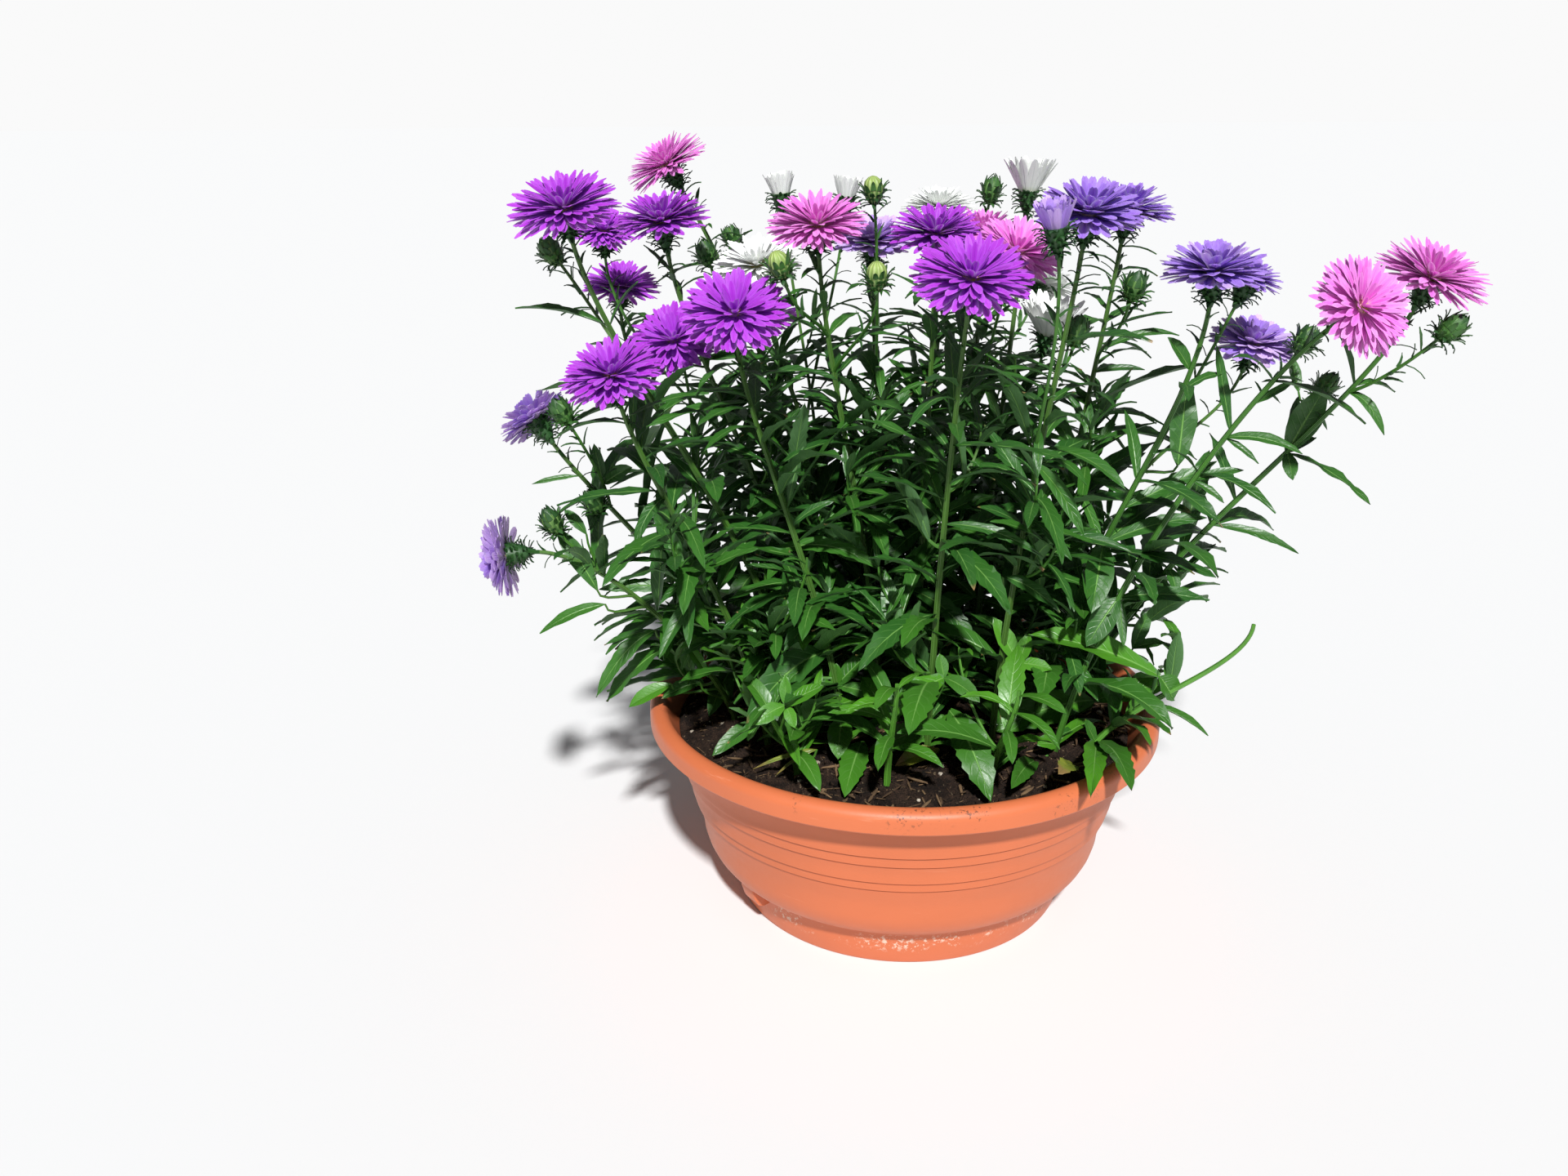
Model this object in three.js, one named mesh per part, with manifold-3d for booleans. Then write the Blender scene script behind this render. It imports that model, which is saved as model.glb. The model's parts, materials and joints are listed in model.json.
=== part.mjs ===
// A 28 cm plastic bowl planter of New York asters in purple, pink, lavender and white.
// Millimetres, +Z up. The origin is the centre of the pot's flat underside, and -Y is the front.
import * as THREE from "three";
import { mergeVertices } from "three/addons/utils/BufferGeometryUtils.js";
import Module from "manifold-3d";

const wasm = await Module();
wasm.setup();

// Driving dimensions of the pot
const RIM_RADIUS = 140;
const POT_HEIGHT = 116;
const FOOT_RADIUS = 92;
const FOOT_HEIGHT = 20;
const CREASE_RADIUS = 98;
const CREASE_HEIGHT = 24;
const BELLY_RADIUS = 112.4;
const BELLY_HEIGHT = 46;
const NECK_RADIUS = 128.7;
const NECK_HEIGHT = 104;
const WALL = 3;
const RIM_BAND = 12;
const RIM_THICK = 2.6;
const BEAD_HEIGHTS = [59.5, 64.6, 75.8, 81.7];
const BEAD_RISE = 0.8;
const BEAD_HALF = 1.6;
const POT_SIDES = 25;
const FOOT_FLARE = 3.5;
const RIM_HOLLOW = 5;
const BELLY_LUG_ANGLE = 3.84;
const BELLY_LUG_WIDTH = 12;
const RIM_LUG_ANGLE = -0.32;
const RIM_LUG_WIDTH = 14;
const DRAIN_RADIUS = 5;
const DRAIN_CIRCLE = 50;
const DRAIN_COUNT = 4;
const DRAIN_SIDES = 8;

// Driving dimensions of the soil and the plants
const FIT = 0.3;
const SOIL_LEVEL = 100;
const SOIL_MOUND = 4;
const SOIL_SIDES = 16;
const HOLE_DEPTH = 22;
const STEM_SIDES = 5;
const STEM_FOOT = 2.3;
const STEM_TOP = 1.3;
const BRANCH_SIDES = 4;
const BRANCH_RADIUS = 1.15;
const BLOOM_RADIUS = { purple: 26, pink: 24, lavender: 24, white: 23 };
const BLOOM_PETALS = 8;
const LEAF_LOW = 68;
const LEAF_HIGH = 42;
const LEAF_SLIM = 0.24;
const SHOOT_LOW = 52;
const SHOOT_HIGH = 30;
const JOINT_SPACING = 60;
const CLEARANCE = 4.3;
const OWN_SHARE = 0.7;
const FIRST_FORK = 0.5;
const FIRST_BUD_FORK = 0.7;
const FORK_STEP = 0.08;
const NECK_LENGTH = 14;
const SEAT_DEPTH = 4;
const BUD_DEPTH = 8;
const OPENING_RADIUS = 13;
const STEM_LEAVES = [0.04, 0.88];
const SHOOT_LEAVES = [0.15, 1];

const COLOURS = {
  pot: 0xd9714a,
  soil: 0x33251c,
  stem: 0x3f7a33,
  shoot: 0x6fae35,
  purple: 0x9a3fd0,
  pink: 0xee6fd0,
  lavender: 0x7f62d6,
  white: 0xeef2ec,
};

// Each flowering stem: its root in the soil, then the heads that it carries. A head gives its colour,
// its centre, the way it faces and its size. The first one ends the stem, and the others branch off it.
const STEMS = [
  {
    root: [-52, -28],
    blooms: [["purple", [-155, -80, 382], [-0.1, -0.35, 0.93], 1]],
    buds: [[-172, -42, 358]],
  },
  {
    root: [-45, 2],
    blooms: [
      ["purple", [-125, -5, 371], [-0.12, -0.15, 0.97], 0.96],
      ["purple", [-163, 35, 363], [0.1, -0.35, 0.9], 0.7],
    ],
    buds: [[-108, 30, 350]],
  },
  {
    root: [-62, 42],
    blooms: [
      ["purple", [-167, 88, 327], [0.1, -0.2, 0.97], 0.9],
      ["purple", [-88, 125, 304], [-0.1, 0.45, 0.9], 0.95],
    ],
    buds: [],
  },
  { root: [-32, 30], blooms: [["pink", [-130, 40, 396], [-0.45, -0.25, 0.85], 0.95]], buds: [] },
  { root: [-28, -58], blooms: [["purple", [-80, -72, 335], [0.04, -0.52, 0.85], 1.02]], buds: [] },
  {
    root: [-70, -50],
    blooms: [
      ["purple", [-136, -86, 309], [-0.12, -0.36, 0.92], 0.94],
      ["purple", [-117, -26, 315], [-0.15, -0.5, 0.85], 0.96],
    ],
    buds: [],
  },
  {
    root: [-92, 12],
    blooms: [["lavender", [-193, -20, 273], [-0.6, 0.25, 0.75], 0.84]],
    buds: [[-172, -42, 280], [-160, -36, 232]],
  },
  {
    root: [-92, -18],
    blooms: [["lavender", [-205, -55, 208], [-0.98, -0.1, -0.12], 0.9]],
    buds: [[-178, -52, 226]],
  },
  {
    root: [-10, -30],
    blooms: [["pink", [-45, -30, 371], [-0.02, -0.3, 0.95], 1.05]],
    buds: [[-16, -46, 348], [-60, -66, 355]],
  },
  {
    root: [-22, 62],
    blooms: [["white", [-80, 18, 347], [-0.12, -0.3, 0.95], 1.06]],
    opening: [["white", [-73, 78, 381], [-0.1, 0, 1], 0.85], ["white", [-37, 98, 378], [0.1, 0, 1], 0.8]],
    buds: [[-102, 92, 352]],
  },
  {
    root: [-6, 26],
    blooms: [["lavender", [-21, 52, 356], [0, -0.15, 0.98], 0.96]],
    buds: [[-20, 16, 383]],
  },
  { root: [8, -6], blooms: [["purple", [12, 8, 364], [0, -0.2, 0.97], 0.95]], buds: [] },
  { root: [14, -60], blooms: [["purple", [26, -98, 354], [0.06, -0.42, 0.9], 1.06]], buds: [] },
  {
    root: [16, 84],
    blooms: [
      ["white", [15, 118, 369], [0, -0.1, 1], 0.95],
      ["white", [75, 122, 325], [0.3, 0.4, 0.86], 0.95],
    ],
    buds: [[43, 90, 378]],
  },
  {
    root: [32, 48],
    blooms: [
      ["pink", [38, 62, 360], [0, -0.1, 1], 0.9],
      ["pink", [50, -26, 358], [0.18, -0.45, 0.87], 0.98],
    ],
    buds: [],
  },
  {
    root: [40, 12],
    opening: [["white", [60, 50, 384], [0.05, 0, 1], 1.3], ["white", [73, 40, 312], [0.1, -0.2, 0.97], 1.5]],
    blooms: [],
    buds: [],
  },
  {
    root: [48, -42],
    blooms: [["lavender", [76, -76, 380], [0.08, -0.2, 0.97], 1.04]],
    opening: [["lavender", [58, -110, 379], [-0.16, -0.2, 0.97], 0.75]],
    buds: [[78, -44, 322]],
  },
  {
    root: [77, 22],
    blooms: [["lavender", [105, 8, 375], [0.1, -0.05, 1], 1]],
    buds: [[104, -38, 342]],
  },
  {
    root: [72, -22],
    blooms: [
      ["lavender", [132, -72, 355], [0, -0.12, 0.99], 0.98],
      ["lavender", [157, -38, 349], [0.35, -0.1, 0.93], 0.64],
      ["lavender", [167, -13, 314], [0.15, -0.25, 0.95], 0.88],
    ],
    buds: [],
  },
  {
    root: [80, -50],
    blooms: [["pink", [190, -95, 342], [0.35, -0.75, 0.55], 0.98]],
    buds: [[188, -26, 316]],
  },
  {
    root: [94, -6],
    blooms: [["pink", [229, -60, 351], [0.25, -0.24, 0.93], 1.08]],
    buds: [[206, -6, 290], [236, -72, 329]],
  },
];

// Each young shoot: its root, its tip and the number of its joints. One is cut off, and is bare at its end.
const SHOOTS = [
  { root: [-52, -78], tip: [-64, -98, 150], joints: 4 },
  { root: [-6, -88], tip: [-2, -104, 165], joints: 5 },
  { root: [46, -82], tip: [56, -96, 160], joints: 4 },
  { root: [98, -48], tip: [174, -47, 178], joints: 4, bare: 0.6 },
  { root: [62, 72], tip: [88, 96, 180], joints: 4 },
];

// Arithmetic on points
const add = (a, b) => [a[0] + b[0], a[1] + b[1], a[2] + b[2]];
const sub = (a, b) => [a[0] - b[0], a[1] - b[1], a[2] - b[2]];
const scale = (a, k) => [a[0] * k, a[1] * k, a[2] * k];
const dot = (a, b) => a[0] * b[0] + a[1] * b[1] + a[2] * b[2];
const cross = (a, b) => [a[1] * b[2] - a[2] * b[1], a[2] * b[0] - a[0] * b[2], a[0] * b[1] - a[1] * b[0]];
const size = (a) => Math.sqrt(dot(a, a));
const unit = (a) => scale(a, 1 / size(a));
const away = (a, b, k) => add(a, scale(b, k));

// Seeded draws between 0 and 1
const LEAF_SEED = 101;
const LEAF_SEED_STEP = 17;
const BLOOM_SEED = 977;
const BLOOM_SEED_STEP = 31;
const HEAD_SEED_STEP = 7;

function makeDraw(seed) {
  let state = seed;
  return () => {
    state = (Math.imul(state, 1664525) + 1013904223) >>> 0;
    return state / 4294967296;
  };
}

// Solids and meshes
function geometryOf(points, faces) {
  let volume = 0;
  for (const [a, b, c] of faces) volume += dot(points[a], cross(points[b], points[c]));
  const turned = volume < 0 ? faces.map(([a, b, c]) => [a, c, b]) : faces;
  const geometry = new THREE.BufferGeometry();
  geometry.setAttribute("position", new THREE.Float32BufferAttribute(points.flat(), 3));
  geometry.setIndex(turned.flat());
  return geometry;
}

function solidOf(geometry) {
  const plain = geometry.clone();
  plain.deleteAttribute("normal");
  plain.deleteAttribute("uv");
  const merged = mergeVertices(plain, 1e-4);
  const mesh = new wasm.Mesh({
    numProp: 3,
    vertProperties: new Float32Array(merged.attributes.position.array),
    triVerts: new Uint32Array(merged.index.array),
  });
  return new wasm.Manifold(mesh);
}

function geometryFrom(solid) {
  const mesh = solid.getMesh();
  const geometry = new THREE.BufferGeometry();
  geometry.setAttribute("position", new THREE.BufferAttribute(new Float32Array(mesh.vertProperties), 3));
  geometry.setIndex(new THREE.BufferAttribute(new Uint32Array(mesh.triVerts), 1));
  return geometry;
}

function joined(geometries) {
  const solids = geometries.map(solidOf);
  return geometryFrom(solids.slice(1).reduce((whole, piece) => whole.add(piece), solids[0]));
}

const group = new THREE.Group();

function addPiece(name, geometry, colour, roughness) {
  const material = new THREE.MeshStandardMaterial({ color: colour, roughness, metalness: 0 });
  const mesh = new THREE.Mesh(geometry, material);
  mesh.name = name;
  group.add(mesh);
}

function lathe(outline, sides) {
  const points = outline.map(([r, z]) => new THREE.Vector2(r, z));
  return new THREE.LatheGeometry(points, sides).rotateX(Math.PI / 2);
}

// The pot is one moulding: an inset foot, a belly, a flared wall with two pairs of beads, and a rolled rim.
function wallRadius(height) {
  if (height >= BELLY_HEIGHT) {
    const rise = (height - BELLY_HEIGHT) / (NECK_HEIGHT - BELLY_HEIGHT);
    return BELLY_RADIUS + (NECK_RADIUS - BELLY_RADIUS) * rise;
  }
  const fall = (BELLY_HEIGHT - height) / (BELLY_HEIGHT - CREASE_HEIGHT);
  return CREASE_RADIUS + (BELLY_RADIUS - CREASE_RADIUS) * Math.sqrt(1 - fall * fall);
}

const INSIDE = [
  [FOOT_RADIUS - WALL * 2, WALL],
  [FOOT_RADIUS - 1, FOOT_HEIGHT + WALL],
  [wallRadius(30) - WALL, 30],
  [BELLY_RADIUS - WALL, BELLY_HEIGHT],
  [NECK_RADIUS - WALL, NECK_HEIGHT],
];

function potOutline() {
  const outside = [[FOOT_RADIUS, 0], [FOOT_RADIUS + FOOT_FLARE, FOOT_HEIGHT]];
  outside.push([CREASE_RADIUS, CREASE_HEIGHT]);
  for (const height of [28, 35, BELLY_HEIGHT]) outside.push([wallRadius(height), height]);
  for (let i = 0; i < BEAD_HEIGHTS.length; i += 2) {
    const middle = (BEAD_HEIGHTS[i] + BEAD_HEIGHTS[i + 1]) / 2;
    const marks = [[BEAD_HEIGHTS[i] - BEAD_HALF, 0], [BEAD_HEIGHTS[i], BEAD_RISE], [middle, 0]];
    marks.push([BEAD_HEIGHTS[i + 1], BEAD_RISE], [BEAD_HEIGHTS[i + 1] + BEAD_HALF, 0]);
    for (const [height, rise] of marks) outside.push([wallRadius(height) + rise, height]);
  }
  const bandFoot = POT_HEIGHT - RIM_BAND;
  const rim = [
    [NECK_RADIUS, bandFoot],
    [NECK_RADIUS + 1.5, POT_HEIGHT - RIM_HOLLOW],
    [RIM_RADIUS - RIM_THICK - 1, POT_HEIGHT - RIM_HOLLOW],
    [RIM_RADIUS - RIM_THICK, bandFoot],
    [RIM_RADIUS, bandFoot],
    [RIM_RADIUS, POT_HEIGHT - RIM_HOLLOW],
    [RIM_RADIUS - 2.5, POT_HEIGHT - 0.8],
    [RIM_RADIUS - 6, POT_HEIGHT],
    [RIM_RADIUS - 9, POT_HEIGHT - 3],
  ];
  return [[0, 0], ...outside, ...rim, ...[...INSIDE].reverse(), [0, WALL]];
}

// The outlines of the two moulded lugs, as radius and height
const BELLY_LUG = [
  [94.4, 19],
  [96.6, 23.6],
  [103.6, 28.4],
  [105.4, 28.6],
  [104.8, 24.8],
  [103.3, 19.8],
  [101.2, 16.2],
  [98.2, 14.6],
  [93.6, 15.4],
];
const RIM_LUG = [[124.8, 96], [128, 107], [134, 107], [134, 99], [131.5, 95.5]];

function lug(outline, angle, width) {
  const shape = new THREE.Shape(outline.map(([r, z]) => new THREE.Vector2(r, z)));
  const block = new THREE.ExtrudeGeometry(shape, { depth: width, bevelEnabled: false, steps: 1 });
  return block.translate(0, 0, -width / 2).rotateX(Math.PI / 2).rotateZ(angle);
}

function buildPot() {
  let solid = solidOf(lathe(potOutline(), POT_SIDES));
  solid = solid.add(solidOf(lug(BELLY_LUG, BELLY_LUG_ANGLE, BELLY_LUG_WIDTH)));
  solid = solid.add(solidOf(lug(RIM_LUG, RIM_LUG_ANGLE, RIM_LUG_WIDTH)));
  for (let i = 0; i < DRAIN_COUNT; i += 1) {
    const angle = ((i + 0.5) / DRAIN_COUNT) * Math.PI * 2;
    const drill = new THREE.CylinderGeometry(DRAIN_RADIUS, DRAIN_RADIUS, WALL * 3, DRAIN_SIDES);
    drill.rotateX(Math.PI / 2);
    drill.translate(DRAIN_CIRCLE * Math.cos(angle), DRAIN_CIRCLE * Math.sin(angle), WALL / 2);
    solid = solid.subtract(solidOf(drill));
  }
  addPiece("pot", geometryFrom(solid), COLOURS.pot, 0.55);
}

// The soil's top is a low mound with lumps.
function soilTop(x, y) {
  const reach = Math.hypot(x, y) / NECK_RADIUS;
  const lumps = Math.sin(x * 0.11 + 1) * Math.cos(y * 0.13) + 0.6 * Math.sin(x * 0.05 - y * 0.09);
  return SOIL_LEVEL + SOIL_MOUND * (1 - reach * reach) + 1.1 * lumps * (1 - reach ** 6);
}

// Stems and their branches are curves with points about 4 mm apart.
const SAMPLE = 4;

function curveFrom(a, b, c, d, steps) {
  const points = [];
  for (let i = 0; i <= steps; i += 1) {
    const t = i / steps;
    const u = 1 - t;
    const start = add(scale(a, u * u * u), scale(b, 3 * u * u * t));
    points.push(add(start, add(scale(c, 3 * u * t * t), scale(d, t * t * t))));
  }
  return points;
}

function stemPath(root, end, facing) {
  const start = [root[0], root[1], soilTop(root[0], root[1]) + 3];
  const way = sub(end, start);
  const low = add(start, [way[0] * 0.14, way[1] * 0.14, way[2] * 0.4]);
  const high = away(end, facing, -0.24 * size(way));
  return curveFrom(start, low, high, end, Math.round(size(way) / SAMPLE));
}

function branchPath(trunk, share, end, facing) {
  const at = Math.round(share * (trunk.length - 1));
  const start = trunk[at];
  const ahead = unit(sub(trunk[at + 1], trunk[at]));
  const gap = sub(end, start);
  const way = size(gap);
  const out = unit(away(gap, ahead, -dot(gap, ahead)));
  const low = away(start, unit(away(ahead, out, 0.8)), 0.3 * way);
  const high = away(end, facing, -0.35 * way);
  return curveFrom(start, low, high, end, Math.max(4, Math.round(way / SAMPLE)));
}

// Frames along a path: the way ahead, a side and the third direction
function framesOf(path) {
  const frames = [];
  let side = [1, 0, 0];
  for (let i = 0; i < path.length; i += 1) {
    const ahead = unit(sub(path[Math.min(i + 1, path.length - 1)], path[Math.max(i - 1, 0)]));
    side = unit(away(side, ahead, -dot(side, ahead)));
    frames.push({ at: path[i], ahead, side, third: cross(ahead, side) });
  }
  return frames;
}

// A bloom sits on its cup at the seat, and the stalk ends below the cup.
function headOf([colour, centre, facing, grade], open) {
  const way = unit(facing);
  const seat = away(centre, way, -SEAT_DEPTH);
  return { colour, way, grade, open, seat, end: away(centre, way, -NECK_LENGTH) };
}

function budWay(bud, root) {
  return unit([(bud[0] - root[0]) * 0.35, (bud[1] - root[1]) * 0.35, 60]);
}

// Everything that stands in the way of a leaf is kept as points in cubes of 10 mm.
const CUBE = 10;
const KEY_SHIFT = 100;
const KEY_STEP = 1000;
const crowd = new Map();
const balls = [];

function cubeKey(x, y, z) {
  const [i, j, k] = [x, y, z].map((value) => Math.floor(value / CUBE) + KEY_SHIFT);
  return (i * KEY_STEP + j) * KEY_STEP + k;
}

function occupy(point, owner) {
  const key = cubeKey(point[0], point[1], point[2]);
  if (!crowd.has(key)) crowd.set(key, []);
  crowd.get(key).push([point, owner]);
}

function isFree(point, owner) {
  for (let i = -1; i <= 1; i += 1) {
    for (let j = -1; j <= 1; j += 1) {
      for (let k = -1; k <= 1; k += 1) {
        const cell = crowd.get(cubeKey(point[0] + i * CUBE, point[1] + j * CUBE, point[2] + k * CUBE));
        if (!cell) continue;
        for (const [other, its] of cell) {
          const room = its === owner ? CLEARANCE * OWN_SHARE : CLEARANCE;
          if (size(sub(point, other)) < room) return false;
        }
      }
    }
  }
  return true;
}

function clearOfBlooms(point) {
  for (const ball of balls) {
    const from = sub(point, ball.at);
    const up = dot(from, ball.way);
    const out = Math.sqrt(Math.max(dot(from, from) - up * up, 0));
    if (up > -ball.below && up < ball.above && out < ball.radius) return false;
  }
  return true;
}

// Leaves stay above the soil and the rim, and hang little below it outside.
const OVER_SOIL = 3;
const OVER_RIM = 4;
const BELOW_RIM = 25;

function clearOfPot(point) {
  const out = Math.hypot(point[0], point[1]);
  if (out < NECK_RADIUS - OVER_RIM * 2) return point[2] > soilTop(point[0], point[1]) + OVER_SOIL;
  if (out < RIM_RADIUS + OVER_RIM * 1.5) return point[2] > POT_HEIGHT + OVER_RIM;
  return point[2] > POT_HEIGHT - BELOW_RIM;
}

// A leaf's spine leaves the stem at an angle and arches over. The blade's points are taken along it.
const SPINE_STEPS = 12;

function leafSpine(frame, turn, open, droop, length) {
  const out = add(scale(frame.side, Math.cos(turn)), scale(frame.third, Math.sin(turn)));
  const first = unit(add(scale(frame.ahead, Math.cos(open)), scale(out, Math.sin(open))));
  const up = unit(add(scale(frame.ahead, 0.5), [0, 0, 0.5]));
  const spine = [];
  let at = frame.at;
  for (let i = 0; i <= SPINE_STEPS; i += 1) {
    const t = i / SPINE_STEPS;
    const ahead = unit([first[0], first[1], first[2] - droop * t]);
    if (i > 0) at = away(at, ahead, length / SPINE_STEPS);
    const lateral = unit(cross(ahead, away(up, out, 0.15)));
    spine.push({ at, ahead, lateral, above: cross(lateral, ahead) });
  }
  return spine;
}

// The share of a leaf's full width at a share of its length
function leafWidth(t) {
  return Math.sin(Math.PI * t ** 0.85) * (1 - 0.25 * t) * 1.12 + 0.1 * (1 - t);
}

function leafPoints(spine, width) {
  const points = [];
  for (let i = 2; i <= SPINE_STEPS; i += 1) {
    const { at, lateral } = spine[i];
    const half = (leafWidth(i / SPINE_STEPS) * width) / 2;
    points.push(at);
    if (half > 1.5) points.push(away(at, lateral, half), away(at, lateral, -half));
    if (half > 4) points.push(away(at, lateral, half / 2), away(at, lateral, -half / 2));
  }
  return points;
}

function fits(points, owner) {
  for (const point of points) {
    if (!clearOfPot(point) || !clearOfBlooms(point) || !isFree(point, owner)) return false;
  }
  return true;
}

// A stem has five faces, and each joint of it bears two leaves, the second one smaller. The next joint's
// leaves turn on by two faces. A leaf that meets something tries the other faces, a little shorter.
const TRIES = [0, 1, -1, 2, -2];

function placeLeaf(frames, site, face, taken, form, owner) {
  const { yaw, open, droop, length, slim } = form;
  for (let i = 0; i < TRIES.length; i += 1) {
    const grown = (face + TRIES[i] + STEM_SIDES) % STEM_SIDES;
    if (grown === taken) continue;
    const turn = ((grown + 0.5) / STEM_SIDES) * Math.PI * 2 + yaw;
    const reach = length * (1 - 0.06 * i);
    const spine = leafSpine(frames[site], turn, open, droop, reach);
    const points = leafPoints(spine, reach * slim);
    if (!fits(points, owner)) continue;
    for (const point of points) occupy(point, owner);
    return { site, face: grown, spine, length: reach, width: reach * slim };
  }
  return null;
}

const SECOND_LEAF = 0.7;

function leavesAlong(frames, owner, joints, [from, to], [longest, shortest], draw) {
  const leaves = [];
  let face = Math.floor(draw() * STEM_SIDES);
  for (let i = 0; i < joints; i += 1) {
    const share = from + (to - from) * ((i + 0.5) / joints);
    const site = Math.round(share * (frames.length - 1));
    const rise = i / Math.max(joints - 1, 1);
    let taken = -1;
    for (const part of [1, SECOND_LEAF]) {
      const form = {
        length: (longest + (shortest - longest) * rise) * part * (0.88 + 0.24 * draw()),
        yaw: (draw() - 0.5) * 0.7,
        open: 0.75 + 0.35 * draw(),
        droop: 0.45 + 0.6 * draw(),
        slim: LEAF_SLIM * (0.85 + 0.3 * draw()),
      };
      const leaf = placeLeaf(frames, site, face, taken, form, owner);
      if (leaf) {
        leaves.push(leaf);
        taken = leaf.face;
      }
      face = (face + 2) % STEM_SIDES;
    }
  }
  return leaves;
}

// The whole plant is laid out before anything is built.
function layOut() {
  const plants = STEMS.map((stem, index) => {
    const open = (stem.opening ?? []).map((head) => headOf(head, true));
    const heads = [...stem.blooms.map((head) => headOf(head, false)), ...open];
    const trunk = stemPath(stem.root, heads[0].end, heads[0].way);
    const branches = [];
    heads.slice(1).forEach((head, i) => {
      branches.push(branchPath(trunk, FIRST_FORK + FORK_STEP * i, head.end, head.way));
    });
    const buds = stem.buds.map((bud, i) => {
      const way = budWay(bud, stem.root);
      branches.push(branchPath(trunk, FIRST_BUD_FORK + FORK_STEP * i, away(bud, way, -BUD_DEPTH), way));
      return { at: bud, way };
    });
    return { owner: index, root: stem.root, trunk, branches, heads, buds };
  });
  SHOOTS.forEach((shoot, index) => {
    const trunk = stemPath(shoot.root, shoot.tip, unit([0, 0, 1]));
    const owner = STEMS.length + index;
    plants.push({ owner, root: shoot.root, trunk, branches: [], heads: [], buds: [], shoot });
  });
  for (const plant of plants) {
    for (const path of [plant.trunk, ...plant.branches]) {
      for (const point of path) occupy(point, plant.owner);
    }
    for (const head of plant.heads) {
      const radius = head.grade * (head.open ? OPENING_RADIUS : BLOOM_RADIUS[head.colour] + 2);
      balls.push({ at: head.seat, way: head.way, radius, below: head.open ? 8 : 6, above: 20 });
      balls.push({ at: head.seat, way: head.way, radius: 10, below: 13, above: 1 });
    }
    for (const bud of plant.buds) balls.push({ at: bud.at, way: bud.way, radius: 8, below: 10, above: 10 });
  }
  for (const plant of plants) {
    const { owner, shoot } = plant;
    const draw = makeDraw(LEAF_SEED + owner * LEAF_SEED_STEP);
    const frames = framesOf(plant.trunk);
    const joints = shoot ? shoot.joints : Math.round((frames.length * SAMPLE) / JOINT_SPACING);
    const stretch = shoot ? [SHOOT_LEAVES[0], SHOOT_LEAVES[1] - (shoot.bare ?? 0)] : STEM_LEAVES;
    const lengths = shoot ? [SHOOT_LOW, SHOOT_HIGH] : [LEAF_LOW, LEAF_HIGH];
    plant.leaves = leavesAlong(frames, owner, joints, stretch, lengths, draw);
  }
  return plants;
}

// A leaf blade has a flat upper face and a keel below. Large ones have a tooth on each edge.
const LARGE_LEAF = 62;
const SMALL_LEAF = 56;
const LEAF_KEEL = 1.3;

function leafSections(leaf) {
  const large = leaf.length > LARGE_LEAF;
  const small = leaf.length < SMALL_LEAF;
  const marks = large ? [3, 6, 8, 8.4, 10.3] : small ? [4, 8.5] : [3, 6.5, 10];
  return marks.map((mark) => {
    const i = Math.floor(mark);
    const here = leaf.spine[i];
    const next = leaf.spine[Math.min(i + 1, SPINE_STEPS)];
    const at = add(scale(here.at, 1 - (mark - i)), scale(next.at, mark - i));
    const tooth = large && mark === 8 ? 1.14 : 1;
    const half = (leafWidth(mark / SPINE_STEPS) * leaf.width * tooth) / 2;
    const rim = away(at, here.above, half * 0.12);
    const keel = away(at, here.above, mark > 9 ? -LEAF_KEEL * 0.75 : -LEAF_KEEL);
    return [keel, away(rim, here.lateral, -half), away(rim, here.lateral, half)];
  });
}

// Points and faces of a form built ring by ring, from whose faces blades are grown
class Form {
  constructor() {
    this.points = [];
    this.faces = [];
  }

  ring(frame, radius, height, count, offset) {
    const ring = [];
    for (let i = 0; i < count; i += 1) {
      const angle = ((i + offset) / count) * Math.PI * 2;
      const out = add(scale(frame.side, Math.cos(angle)), scale(frame.third, Math.sin(angle)));
      ring.push(this.points.length);
      this.points.push(away(away(frame.at, out, radius), frame.ahead, height));
    }
    return ring;
  }

  cap(ring, down) {
    for (let i = 1; i + 1 < ring.length; i += 1) {
      this.faces.push(down ? [ring[0], ring[i + 1], ring[i]] : [ring[0], ring[i], ring[i + 1]]);
    }
  }

  cone(ring, tip) {
    this.points.push(tip);
    const top = this.points.length - 1;
    ring.forEach((corner, i) => this.faces.push([corner, ring[(i + 1) % ring.length], top]));
  }

  middle(face) {
    return scale(add(add(this.points[face[0]], this.points[face[1]]), this.points[face[2]]), 1 / 3);
  }

  // A face becomes a blade: its three edges run through each section to the tip.
  blade(face, sections, tip) {
    let from = face;
    for (const section of sections) {
      const to = section.map((point) => this.points.push(point) - 1);
      for (let i = 0; i < 3; i += 1) {
        const j = (i + 1) % 3;
        this.faces.push([from[i], from[j], to[j]], [from[i], to[j], to[i]]);
      }
      from = to;
    }
    this.points.push(tip);
    const top = this.points.length - 1;
    for (let i = 0; i < 3; i += 1) this.faces.push([from[i], from[(i + 1) % 3], top]);
  }

  // Two rings of a tube with the same facing: each of its sides is two faces, and a leaf grows from one.
  wall(lower, upper, grow) {
    const count = lower.length;
    for (let i = 0; i < count; i += 1) {
      const next = (i + 1) % count;
      this.faces.push([lower[i], lower[next], upper[next]]);
      const face = [lower[i], upper[next], upper[i]];
      if (!grow || !grow(face, i)) this.faces.push(face);
    }
  }

  // Two rings half a step apart: the faces that point up become bracts.
  bracts(frame, lower, upper, out, lift) {
    lower.forEach((corner, i) => {
      const next = (i + 1) % lower.length;
      const face = [corner, lower[next], upper[i]];
      const middle = this.middle(face);
      const from = sub(middle, frame.at);
      const outward = unit(away(from, frame.ahead, -dot(from, frame.ahead)));
      this.blade(face, [], away(away(middle, outward, out), frame.ahead, lift));
      this.faces.push([upper[i], lower[next], upper[next]]);
    });
  }

  geometry() {
    return geometryOf(this.points, this.faces);
  }
}

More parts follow.
